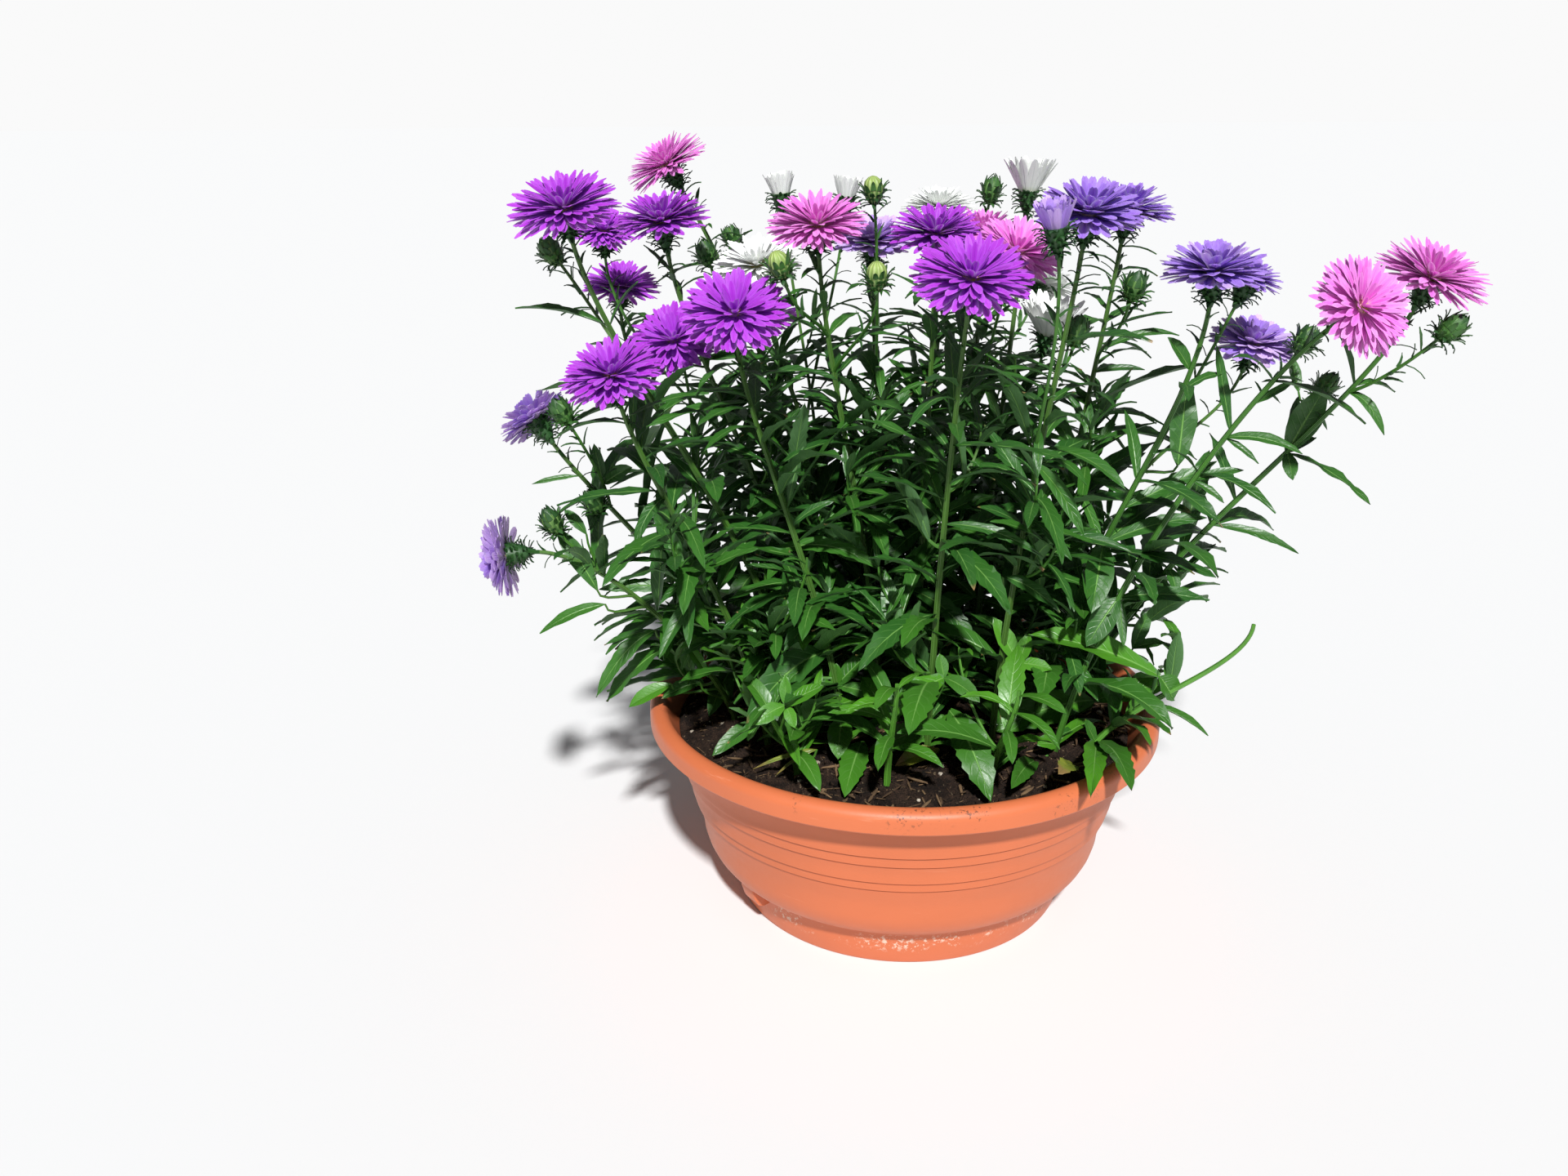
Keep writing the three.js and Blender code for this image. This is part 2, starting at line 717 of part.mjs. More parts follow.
function headFrame(seat, way, side) {
  const across = unit(away(side, way, -dot(side, way)));
  return { at: seat, ahead: way, side: across, third: cross(way, across) };
}

function footFrame(root, height) {
  return { at: [root[0], root[1], height], ahead: [0, 0, 1], side: [1, 0, 0], third: [0, 1, 0] };
}

// The green cup below a bloom, with two rounds of bracts curling out
const CUP = { full: [5, 6.6], opening: [4.4, 5.2], depth: 6, bract: 3.5, droop: [1, 1.5] };

function growCup(form, ring, head, side) {
  const frame = headFrame(head.seat, head.way, side);
  const [bellyRadius, mouthRadius] = head.open ? CUP.opening : CUP.full;
  const belly = form.ring(frame, bellyRadius, -CUP.depth, ring.length, 0.5);
  const mouth = form.ring(frame, mouthRadius, 0, ring.length, 1);
  form.bracts(frame, ring, belly, CUP.bract, -CUP.droop[0]);
  form.bracts(frame, belly, mouth, CUP.bract, -CUP.droop[1]);
  form.cap(mouth, false);
}

// A closed bud with two rounds of bracts: its widest rings, their heights, its tip and its bracts
const BUD = { belly: [4.6, -4], shoulder: [4.8, 2], tip: 6, bract: 3, lift: 1 };

function growBud(form, ring, bud, side) {
  const frame = headFrame(bud.at, bud.way, side);
  const belly = form.ring(frame, ...BUD.belly, ring.length, 0.5);
  const shoulder = form.ring(frame, ...BUD.shoulder, ring.length, 1);
  form.bracts(frame, ring, belly, BUD.bract, 0);
  form.bracts(frame, belly, shoulder, BUD.bract, BUD.lift);
  form.cone(shoulder, away(bud.at, bud.way, BUD.tip));
}

// A stem or branch is one skin: rings above and below each leaf, and a cup, a bud or a tip at its end.
const LEAF_FOOT = 2.4;
const LONG_STRETCH = 12;

function growStem(path, leaves, sides, fromRadius, toRadius, foot, finish) {
  const form = new Form();
  const frames = framesOf(path);
  const last = frames.length - 1;
  const radiusAt = (i) => fromRadius + (toRadius - fromRadius) * (i / last);
  let ring = form.ring(foot ?? frames[0], fromRadius, 0, sides, 0);
  form.cap(ring, true);
  if (foot) {
    const level = form.ring(footFrame(path[0], path[0][2]), fromRadius, 0, sides, 0);
    form.wall(ring, level);
    ring = level;
  }
  const reachRing = (frame, radius, height, grow) => {
    const next = form.ring(frame, radius, height, sides, 0);
    form.wall(ring, next, grow);
    ring = next;
  };
  let done = 0;
  const bridge = (site) => {
    const pieces = Math.ceil((site - done) / LONG_STRETCH);
    for (let k = 1; k < pieces; k += 1) {
      const at = Math.round(done + ((site - done) * k) / pieces);
      reachRing(frames[at], radiusAt(at), 0);
    }
  };
  const sites = [...new Set(leaves.map((leaf) => leaf.site))].sort((a, b) => a - b);
  for (const site of sites) {
    const frame = frames[site];
    bridge(site);
    reachRing(frame, radiusAt(site), -LEAF_FOOT);
    reachRing(frame, radiusAt(site), site === last ? 0 : LEAF_FOOT, (face, i) => {
      const leaf = leaves.find((one) => one.site === site && one.face === i);
      if (leaf) form.blade(face, leafSections(leaf), leaf.spine[SPINE_STEPS].at);
      return Boolean(leaf);
    });
    done = site;
  }
  bridge(last);
  if (done < last) reachRing(frames[last], toRadius, 0);
  finish(form, ring, frames[last]);
  return form.geometry();
}

// A petal's widest section and its tip, from the face that it grows from
function petalPoints(form, frame, face, angle, rise, reach, width, upright, bend) {
  const root = form.middle(face);
  const out = add(scale(frame.side, Math.cos(angle)), scale(frame.third, Math.sin(angle)));
  const ahead = add(scale(out, Math.cos(rise)), scale(frame.ahead, Math.sin(rise)));
  const lateral = sub(scale(frame.third, Math.cos(angle)), scale(frame.side, Math.sin(angle)));
  const above = cross(ahead, lateral);
  const middle = away(away(root, ahead, reach * 0.72), above, bend * 0.4);
  const tip = away(away(root, ahead, reach), above, -bend * 0.6);
  const left = away(middle, lateral, -width / 2);
  const right = away(middle, lateral, width / 2);
  const keel = away(middle, above, upright ? PETAL_THICK : -PETAL_THICK);
  return { sections: [upright ? [left, right, keel] : [left, keel, right]], tip };
}

// A bloom: a low core with two crowded rounds of long petals and a short round above them
const PETAL_THICK = 1.2;

function bloomSolid(head, draw) {
  const form = new Form();
  const count = BLOOM_PETALS;
  const radius = BLOOM_RADIUS[head.colour] * head.grade;
  const grade = radius / 25;
  const frame = headFrame(head.seat, head.way, [Math.cos(draw() * 6), 0.6, 0.3]);
  const low = form.ring(frame, 8.2 * grade, FIT, count, 0);
  const middle = form.ring(frame, 7.6 * grade, 5.4 * grade, count, 0.5);
  const high = form.ring(frame, 4 * grade, 9 * grade, count, 0);
  form.cap(low, true);
  form.cone(high, away(head.seat, head.way, 10.4 * grade));
  const step = (Math.PI * 2) / count;
  const reach = radius - 7.5 * grade;
  const petal = (face, angle, rise, length, width, upright, bend) => {
    const { sections, tip } = petalPoints(form, frame, face, angle, rise, length, width, upright, bend);
    form.blade(face, sections, tip);
  };
  for (let i = 0; i < count; i += 1) {
    const next = (i + 1) % count;
    const sway = [draw(), draw(), draw(), draw(), draw(), draw()].map((value) => value - 0.5);
    petal([low[i], low[next], middle[i]], (i + 0.5) * step + sway[0] * 0.08, 0.02 + sway[1] * 0.16,
      reach * (1 + 0.08 * sway[2]), 8.6 * grade, true, 1.5 * grade);
    petal([middle[i], low[next], middle[next]], (i + 1) * step + sway[3] * 0.08, 0.5 + sway[4] * 0.16,
      reach * (0.9 + 0.08 * sway[5]), 7.4 * grade, false, 1.5 * grade);
    const upper = [middle[i], middle[next], high[next]];
    if (i % 2 === 0 && i + 1 < count) {
      petal(upper, (i + 1) * step, 1.05, 9.5 * grade, 4 * grade, true, 0.6);
    } else {
      form.faces.push(upper);
    }
    form.faces.push([high[i], middle[i], high[next]]);
  }
  return form.geometry();
}

// A bloom that is still opening: upright petals in a cup
const OPENING_PETALS = 7;

function openingSolid(head, draw) {
  const form = new Form();
  const { grade } = head;
  const frame = headFrame(head.seat, head.way, [Math.cos(draw() * 6), 0.6, 0.3]);
  const foot = form.ring(frame, 4.4, FIT, OPENING_PETALS, 0);
  const mouth = form.ring(frame, 5.2 * Math.sqrt(grade), 5 * grade, OPENING_PETALS, 0.5);
  const heart = form.points.push(away(head.seat, head.way, 5.5 * grade)) - 1;
  form.cap(foot, true);
  const splay = grade > 1.5 ? 1 : 1.25;
  for (let i = 0; i < OPENING_PETALS; i += 1) {
    const next = (i + 1) % OPENING_PETALS;
    form.faces.push([foot[i], foot[next], mouth[i]], [mouth[i], foot[next], mouth[next]]);
    const face = [mouth[i], mouth[next], heart];
    const angle = ((i + 1) / OPENING_PETALS) * Math.PI * 2;
    const length = 11 * grade * (0.9 + 0.2 * draw());
    const { sections, tip } = petalPoints(form, frame, face, angle, splay, length, 4.2 * grade, true, 0);
    form.blade(face, sections, tip);
  }
  return form.geometry();
}

// The soil stands about 0.5 mm clear of the pot's flat sides, and has a plain hole for each stem.
const SOIL_FIT = 0.5;

function buildSoil(plants) {
  const shrink = Math.cos(Math.PI / POT_SIDES);
  const topRadius = (wallRadius(SOIL_LEVEL) - WALL) * shrink - SOIL_FIT;
  const below = INSIDE.filter(([, height]) => height < SOIL_LEVEL);
  const outline = [[0, WALL + FIT]];
  for (const [radius, height] of below) outline.push([radius * shrink - SOIL_FIT, height + FIT]);
  for (const share of [1, 0.7, 0.35, 0]) outline.push([topRadius * share, SOIL_LEVEL]);
  const geometry = lathe(outline, SOIL_SIDES);
  const position = geometry.attributes.position;
  for (let i = 0; i < position.count; i += 1) {
    if (position.getZ(i) < SOIL_LEVEL - FIT) continue;
    position.setZ(i, soilTop(position.getX(i), position.getY(i)));
  }
  let solid = solidOf(geometry);
  const holeRadius = STEM_FOOT + FIT / Math.cos(Math.PI / STEM_SIDES);
  for (const plant of plants) {
    const floor = soilTop(plant.root[0], plant.root[1]) - HOLE_DEPTH;
    const hole = new Form();
    const foot = hole.ring(footFrame(plant.root, floor), holeRadius, 0, STEM_SIDES, 0);
    const mouth = hole.ring(footFrame(plant.root, floor), holeRadius, HOLE_DEPTH * 2, STEM_SIDES, 0);
    hole.cap(foot, true);
    hole.wall(foot, mouth);
    hole.cap(mouth, false);
    solid = solid.subtract(solidOf(hole.geometry()));
  }
  addPiece("soil", geometryFrom(solid), COLOURS.soil, 1);
}

function buildPlant(plant) {
  const bottom = soilTop(plant.root[0], plant.root[1]) - HOLE_DEPTH + FIT;
  const [first, ...others] = plant.heads;
  const finish = (form, ring, frame) => {
    if (first) growCup(form, ring, first, frame.side);
    else form.cone(ring, away(frame.at, frame.ahead, 4));
  };
  const foot = footFrame(plant.root, bottom);
  const pieces = [growStem(plant.trunk, plant.leaves, STEM_SIDES, STEM_FOOT, STEM_TOP, foot, finish)];
  const ends = [...others.map((head) => [growCup, head]), ...plant.buds.map((bud) => [growBud, bud])];
  plant.branches.forEach((path, i) => {
    const [grow, end] = ends[i];
    const close = (form, ring, frame) => grow(form, ring, end, frame.side);
    pieces.push(growStem(path, [], BRANCH_SIDES, BRANCH_RADIUS, BRANCH_RADIUS, null, close));
  });
  const number = plant.shoot ? plant.owner - STEMS.length + 1 : plant.owner + 1;
  const name = plant.shoot ? `shoot_${number}` : `leafy_stem_${String(number).padStart(2, "0")}`;
  addPiece(name, joined(pieces), plant.shoot ? COLOURS.shoot : COLOURS.stem, 0.6);
}

function buildBlooms(plants) {
  const counts = {};
  for (const plant of plants) {
    plant.heads.forEach((head, i) => {
      const kind = head.open ? "opening" : "bloom";
      const family = `${kind}_${head.colour}`;
      counts[family] = (counts[family] ?? 0) + 1;
      const draw = makeDraw(BLOOM_SEED + plant.owner * BLOOM_SEED_STEP + i * HEAD_SEED_STEP);
      const geometry = head.open ? openingSolid(head, draw) : bloomSolid(head, draw);
      addPiece(`${family}_${counts[family]}`, geometry, COLOURS[head.colour], 0.7);
    });
  }
}

const plants = layOut();
buildPot();
buildSoil(plants);
plants.forEach(buildPlant);
buildBlooms(plants);

export default group;
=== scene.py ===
# Potted New York asters in purple, pink, lavender and white, in a 28 cm plastic bowl planter.
# Finished pieces are in metres, +Z up, and -Y is the front. The planting is laid out in millimetres.
import functools
import json
import math
from typing import NamedTuple

import bpy
import numpy as np
from bpy.props import FloatProperty, FloatVectorProperty, IntProperty, PointerProperty
from mathutils import Euler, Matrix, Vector, noise

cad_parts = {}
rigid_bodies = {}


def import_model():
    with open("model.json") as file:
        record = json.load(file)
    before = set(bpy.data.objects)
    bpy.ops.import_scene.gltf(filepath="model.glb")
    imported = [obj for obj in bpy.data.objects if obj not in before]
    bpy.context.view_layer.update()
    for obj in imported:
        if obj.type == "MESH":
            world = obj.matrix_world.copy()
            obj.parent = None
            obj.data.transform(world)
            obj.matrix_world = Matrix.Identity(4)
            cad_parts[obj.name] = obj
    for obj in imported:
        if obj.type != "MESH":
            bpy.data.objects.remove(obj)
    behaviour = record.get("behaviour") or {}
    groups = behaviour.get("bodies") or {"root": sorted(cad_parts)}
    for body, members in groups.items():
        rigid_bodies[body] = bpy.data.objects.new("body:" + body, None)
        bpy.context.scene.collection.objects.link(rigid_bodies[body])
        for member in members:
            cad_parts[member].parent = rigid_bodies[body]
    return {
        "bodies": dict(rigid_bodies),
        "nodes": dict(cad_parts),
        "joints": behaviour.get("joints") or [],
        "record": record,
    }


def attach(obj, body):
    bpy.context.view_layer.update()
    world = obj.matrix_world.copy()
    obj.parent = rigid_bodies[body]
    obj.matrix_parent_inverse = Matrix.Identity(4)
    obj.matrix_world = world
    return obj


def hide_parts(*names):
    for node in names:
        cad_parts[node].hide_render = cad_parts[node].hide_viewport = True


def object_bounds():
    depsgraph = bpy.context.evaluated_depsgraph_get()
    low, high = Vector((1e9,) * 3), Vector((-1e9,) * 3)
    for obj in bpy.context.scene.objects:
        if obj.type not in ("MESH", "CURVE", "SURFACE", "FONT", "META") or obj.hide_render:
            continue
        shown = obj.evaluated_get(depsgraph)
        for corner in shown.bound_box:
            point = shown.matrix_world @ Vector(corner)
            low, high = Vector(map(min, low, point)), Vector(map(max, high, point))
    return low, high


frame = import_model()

bl_info = {
    "name": "Potted Asters",
    "version": (1, 0, 0),
    "blender": (4, 5, 0),
    "location": "View3D > Sidebar > Asters",
    "description": "Builds a bowl of New York asters in leaf and in bloom",
    "category": "Add Mesh",
}

CAD_BOX = [list(corner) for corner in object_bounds()]
BODY = "root"
MM = 0.001


# Settings that a user would change
def length(name, description, default):
    """A length in metres."""
    return FloatProperty(name=name, description=description, default=default, min=0.0, unit="LENGTH")


def colour(name, description, default):
    """A colour as linear red, green and blue."""
    return FloatVectorProperty(
        name=name, description=description, default=default, size=3, subtype="COLOR", min=0.0, max=1.0
    )


class BowlSettings(bpy.types.PropertyGroup):
    """Sizes and colour of the bowl"""

    rim_radius: length("Rim Radius", "Radius of the outside of the rim", 0.140)
    height: length("Height", "Height of the bowl", 0.116)
    foot_radius: length("Foot Radius", "Radius of the foot on the table", 0.092)
    foot_height: length("Foot Height", "Height of the foot", 0.020)
    crease_radius: length("Crease Radius", "Radius of the crease over the foot", 0.098)
    crease_height: length("Crease Height", "Height of the crease", 0.024)
    belly_radius: length("Belly Radius", "Radius of the belly", 0.1124)
    belly_height: length("Belly Height", "Height of the belly", 0.046)
    neck_radius: length("Neck Radius", "Radius of the wall under the rim", 0.1287)
    neck_height: length("Neck Height", "Height of the underside of the rim's band", 0.104)
    wall: length("Wall", "Thickness of the wall", 0.003)
    plastic: colour("Plastic", "Colour of the bowl", (0.62, 0.157, 0.058))


class SoilSettings(bpy.types.PropertyGroup):
    """Sizes and colour of the potting soil"""

    level: length("Level", "Height of the soil at the wall", 0.100)
    mound: length("Mound", "Rise of the soil in the middle", 0.004)
    crumb: length("Crumb", "Height of the crumbs", 0.0046)
    clods: IntProperty(name="Clods", description="Number of loose clods and chips", default=2600, min=0)
    earth: colour("Earth", "Colour of the soil", (0.034, 0.019, 0.012))


class FoliageSettings(bpy.types.PropertyGroup):
    """Sizes and colours of the stems and leaves"""

    low_leaf: length("Low Leaf", "Length of a leaf near the soil", 0.068)
    high_leaf: length("High Leaf", "Length of a leaf near the blooms", 0.042)
    low_shoot_leaf: length("Low Shoot Leaf", "Length of a young shoot's lowest leaf", 0.052)
    high_shoot_leaf: length("High Shoot Leaf", "Length of a young shoot's highest leaf", 0.030)
    stem_foot: length("Stem Foot", "Radius of a stem at the soil", 0.0018)
    stem_top: length("Stem Top", "Radius of a stem under its bloom", 0.0010)
    leaf: colour("Leaf", "Colour of a grown leaf", (0.029, 0.124, 0.013))
    young: colour("Young Leaf", "Colour of a young leaf", (0.070, 0.250, 0.012))
    stem: colour("Stem", "Colour of a stem", (0.046, 0.168, 0.013))


class BloomSettings(bpy.types.PropertyGroup):
    """Sizes and colours of the blooms"""

    purple_radius: length("Purple Radius", "Radius of a purple bloom", 0.026)
    pink_radius: length("Pink Radius", "Radius of a pink bloom", 0.024)
    lavender_radius: length("Lavender Radius", "Radius of a lavender bloom", 0.024)
    white_radius: length("White Radius", "Radius of a white bloom", 0.023)
    purple: colour("Purple", "Colour of a purple petal", (0.44, 0.036, 0.64))
    pink: colour("Pink", "Colour of a pink petal", (0.84, 0.18, 0.73))
    lavender: colour("Lavender", "Colour of a lavender petal", (0.33, 0.160, 0.70))
    white: colour("White", "Colour of a white petal", (0.93, 0.94, 0.91))


class StudioSettings(bpy.types.PropertyGroup):
    """Camera, floor and light"""

    lens: FloatProperty(name="Lens", description="Focal length in millimetres", default=30.41)
    floor: colour("Floor", "Colour of the floor", (0.79, 0.79, 0.79))
    sun: FloatProperty(name="Sun", description="Strength of the main light", default=4.6)
    sun_size: FloatProperty(
        name="Sun Size",
        description="Width of the main light as an angle",
        default=math.radians(3.5),
        unit="ROTATION",
    )
    sky: FloatProperty(name="Sky", description="Strength of the light from all sides", default=0.17)


def mm(value):
    """A setting in metres as millimetres, without the last digits of a single float."""
    return round(value * 1000, 3)


# Arithmetic on points, in double precision
def add(a, b):
    return (a[0] + b[0], a[1] + b[1], a[2] + b[2])


def sub(a, b):
    return (a[0] - b[0], a[1] - b[1], a[2] - b[2])


def scale(a, k):
    return (a[0] * k, a[1] * k, a[2] * k)


def dot(a, b):
    return a[0] * b[0] + a[1] * b[1] + a[2] * b[2]


def cross(a, b):
    return (a[1] * b[2] - a[2] * b[1], a[2] * b[0] - a[0] * b[2], a[0] * b[1] - a[1] * b[0])


def size(a):
    return math.sqrt(dot(a, a))


def unit(a):
    return scale(a, 1 / size(a))


def away(a, b, k):
    return add(a, scale(b, k))


def round_up(value):
    """The nearest whole number, with halves rounded up."""
    return math.floor(value + 0.5)


# Seeded draws between 0 and 1
DRAW_FACTOR = 1664525
DRAW_STEP = 1013904223
DRAW_RANGE = 2**32
LEAF_SEED = 101
LEAF_SEED_STEP = 17
BLOOM_SEED = 977
BLOOM_SEED_STEP = 31
HEAD_SEED_STEP = 7


def make_draw(seed):
    state = seed

    def draw():
        nonlocal state
        state = (state * DRAW_FACTOR + DRAW_STEP) % DRAW_RANGE
        return state / DRAW_RANGE

    return draw


# Each flowering stem: its root in the soil, then the heads that it carries. A head gives its colour,
# its centre, the way it faces, its size and how pale it is. The first one ends the stem, and the others
# branch off it.
STEMS = [
    {
        "root": (-52, -28),
        "blooms": [("purple", (-155, -80, 382), (-0.1, -0.35, 0.93), 1)],
        "buds": [(-172, -42, 358)],
    },
    {
        "root": (-45, 2),
        "blooms": [
            ("purple", (-125, -5, 371), (-0.12, -0.15, 0.97), 0.96),
            ("purple", (-163, 35, 363), (0.1, -0.35, 0.9), 0.7),
        ],
        "buds": [(-108, 30, 350)],
    },
    {
        "root": (-62, 42),
        "blooms": [
            ("purple", (-167, 88, 327), (0.1, -0.2, 0.97), 0.9),
            ("purple", (-88, 125, 304), (-0.1, 0.45, 0.9), 0.95),
        ],
    },
    {"root": (-32, 30), "blooms": [("pink", (-130, 40, 396), (-0.45, -0.25, 0.85), 0.95)]},
    {"root": (-28, -58), "blooms": [("purple", (-80, -72, 335), (0.04, -0.52, 0.85), 1.02)]},
    {
        "root": (-70, -50),
        "blooms": [
            ("purple", (-136, -86, 309), (-0.12, -0.36, 0.92), 0.94),
            ("purple", (-117, -26, 315), (-0.15, -0.5, 0.85), 0.96),
        ],
    },
    {
        "root": (-92, 12),
        "blooms": [("lavender", (-193, -20, 273), (-0.6, 0.25, 0.75), 0.84, 0.8)],
        "buds": [(-172, -42, 280), (-160, -36, 232)],
    },
    {
        "root": (-92, -18),
        "blooms": [("lavender", (-205, -55, 208), (-0.98, -0.1, -0.12), 0.9, 1)],
        "buds": [(-178, -52, 226)],
    },
    {
        "root": (-10, -30),
        "blooms": [("pink", (-45, -30, 371), (-0.02, -0.3, 0.95), 1.05)],
        "buds": [(-16, -46, 348), (-60, -66, 355)],
    },
    {
        "root": (-22, 62),
        "blooms": [("white", (-80, 18, 347), (-0.12, -0.3, 0.95), 1.06)],
        "opening": [
            ("white", (-73, 78, 381), (-0.1, 0, 1), 0.85),
            ("white", (-37, 98, 378), (0.1, 0, 1), 0.8),
        ],
        "buds": [(-102, 92, 352)],
    },
    {
        "root": (-6, 26),
        "blooms": [("lavender", (-21, 52, 356), (0, -0.15, 0.98), 0.96, 1)],
        "buds": [(-20, 16, 383)],
    },
    {"root": (8, -6), "blooms": [("purple", (12, 8, 364), (0, -0.2, 0.97), 0.95)]},
    {"root": (14, -60), "blooms": [("purple", (26, -98, 354), (0.06, -0.42, 0.9), 1.06)]},
    {
        "root": (16, 84),
        "blooms": [
            ("white", (15, 118, 369), (0, -0.1, 1), 0.95),
            ("white", (75, 122, 325), (0.3, 0.4, 0.86), 0.95),
        ],
        "buds": [(43, 90, 378)],
    },
    {
        "root": (32, 48),
        "blooms": [
            ("pink", (38, 62, 360), (0, -0.1, 1), 0.9),
            ("pink", (50, -26, 358), (0.18, -0.45, 0.87), 0.98),
        ],
    },
    {
        "root": (40, 12),
        "opening": [
            ("white", (60, 50, 384), (0.05, 0, 1), 1.3),
            ("white", (73, 40, 312), (0.1, -0.2, 0.97), 1.5),
        ],
    },
    {
        "root": (48, -42),
        "blooms": [("lavender", (76, -76, 380), (0.08, -0.2, 0.97), 1.04)],
        "opening": [("lavender", (58, -110, 379), (-0.16, -0.2, 0.97), 0.75, 0.7)],
        "buds": [(78, -44, 322)],
    },
    {
        "root": (77, 22),
        "blooms": [("lavender", (105, 8, 375), (0.1, -0.05, 1), 1)],
        "buds": [(104, -38, 342)],
    },
    {
        "root": (72, -22),
        "blooms": [
            ("lavender", (132, -72, 355), (0, -0.12, 0.99), 0.98, 0.3),
            ("lavender", (157, -38, 349), (0.35, -0.1, 0.93), 0.64, 0.2),
            ("lavender", (167, -13, 314), (0.15, -0.25, 0.95), 0.88, 0.7),
        ],
    },
    {
        "root": (80, -50),
        "blooms": [("pink", (190, -95, 342), (0.35, -0.75, 0.55), 0.98)],
        "buds": [(188, -26, 316)],
    },
    {
        "root": (94, -6),
        "blooms": [("pink", (229, -60, 351), (0.25, -0.24, 0.93), 1.08)],
        "buds": [(206, -6, 290), (236, -72, 329)],
    },
]

# Each young shoot: its root, its tip and the number of its joints. One is cut off, and is bare at its end.
SHOOTS = [
    {"root": (-52, -78), "tip": (-64, -98, 150), "joints": 4},
    {"root": (-6, -88), "tip": (-2, -104, 165), "joints": 5},
    {"root": (46, -82), "tip": (56, -96, 160), "joints": 4},
    {"root": (98, -48), "tip": (174, -47, 178), "joints": 4, "bare": 0.6},
    {"root": (62, 72), "tip": (88, 96, 180), "joints": 4},
]

# Where leaves grow, and how close they come to each other, in millimetres
LIME_BUDS = ((-16, -46, 348), (-60, -66, 355), (-20, 16, 383))
STEM_SIDES = 5
LEAF_SLIM = 0.24
JOINT_SPACING = 60
CLEARANCE = 4.3
OWN_SHARE = 0.7
FIRST_FORK = 0.5
FIRST_BUD_FORK = 0.7
FORK_STEP = 0.08
NECK_LENGTH = 14
SEAT_DEPTH = 4
BUD_DEPTH = 8
OPENING_RADIUS = 13
STEM_LEAVES = (0.04, 0.88)
SHOOT_LEAVES = (0.15, 1)
SECOND_LEAF = 0.7
HOLE_DEPTH = 22
SAMPLE = 4
CUBE = 10
OVER_SOIL = 3
OVER_RIM = 4
BELOW_RIM = 25
SPINE_STEPS = 12
TRIES = (0, 1, -1, 2, -2)
# The soil's lumps, and how stems, forks and buds lean and bend
LUMP_HEIGHT = 1.1
ROOT_HEIGHT = 3
ROOT_LEAN = 0.14
ROOT_RISE = 0.4
TOP_PULL = 0.24
FORK_SPREAD = 0.8
FORK_PULL = 0.3
HEAD_PULL = 0.35
BUD_LEAN = 0.35
BUD_RISE = 60
# Half widths from which a leaf is felt out at its edges, and between them and its midrib
BROAD_HALF = 1.5
BROADER_HALF = 4
# Room that is kept free of leaves: its radius, and how far it goes below and above
PETAL_GAP = 2
BLOOM_ROOM = (6, 20)
OPENING_ROOM = (8, 20)
CUP_ROOM = (10, 13, 1)
BUD_ROOM = (8, 10, 10)


class Frame(NamedTuple):
    """A place on a path: the point, the way ahead, a side and the third direction."""

    at: tuple
    ahead: tuple
    side: tuple
    third: tuple


class Head(NamedTuple):
    colour: str
    way: tuple
    grade: float
    pale: float
    open: bool
    seat: tuple
    end: tuple


class Leaf(NamedTuple):
    """A leaf: where it grows on its stem, rows of points, laterals and aboves along it, and its size."""

    site: int
    spine: tuple
    length: float
    width: float
    age: float = None


class Ball(NamedTuple):
    """Room that a bloom, a cup or a bud keeps free of leaves."""

    at: tuple
    way: tuple
    radius: float
    below: float
    above: float


class Plant:
    """One stem or shoot with all that it carries."""

    def __init__(self, owner, trunk, shoot=None):
        self.owner = owner
        self.trunk = trunk
        self.shoot = shoot
        self.branches = []
        self.heads = []
        self.buds = []
        self.leaves = []
        self.extras = []
        self.twigs = []


def soil_top(x, y):
    """The height of the soil's low, lumpy mound, in millimetres."""
    soil = bpy.context.scene.aster_soil
    reach = np.hypot(x, y) / mm(bpy.context.scene.aster_bowl.neck_radius)
    lumps = np.sin(x * 0.11 + 1) * np.cos(y * 0.13) + 0.6 * np.sin(x * 0.05 - y * 0.09)
    return mm(soil.level) + mm(soil.mound) * (1 - reach * reach) + LUMP_HEIGHT * lumps * (1 - reach**6)


def curve_from(a, b, c, d, steps):
    points = []
    for i in range(steps + 1):
        t = i / steps
        u = 1 - t
        start = add(scale(a, u * u * u), scale(b, 3 * u * u * t))
        points.append(add(start, add(scale(c, 3 * u * t * t), scale(d, t * t * t))))
    return points


def stem_path(root, end, facing):
    """A stem comes up steeply, and leans over to meet its end along the way that its head faces."""
    start = (*root, float(soil_top(*root)) + ROOT_HEIGHT)
    way = sub(end, start)
    low = add(start, (way[0] * ROOT_LEAN, way[1] * ROOT_LEAN, way[2] * ROOT_RISE))
    high = away(end, facing, -TOP_PULL * size(way))
    return curve_from(start, low, high, end, round_up(size(way) / SAMPLE))


def branch_path(trunk, share, end, facing):
    """A branch forks off at a share of the trunk's length."""
    at = round_up(share * (len(trunk) - 1))
    start = trunk[at]
    ahead = unit(sub(trunk[at + 1], trunk[at]))
    gap = sub(end, start)
    way = size(gap)
    out = unit(away(gap, ahead, -dot(gap, ahead)))
    low = away(start, unit(away(ahead, out, FORK_SPREAD)), FORK_PULL * way)
    high = away(end, facing, -HEAD_PULL * way)
    return curve_from(start, low, high, end, max(4, round_up(way / SAMPLE)))


def frames_of(path):
    frames = []
    side = (1.0, 0.0, 0.0)
    for i, point in enumerate(path):
        ahead = unit(sub(path[min(i + 1, len(path) - 1)], path[max(i - 1, 0)]))
        side = unit(away(side, ahead, -dot(side, ahead)))
        frames.append(Frame(point, ahead, side, cross(ahead, side)))
    return frames


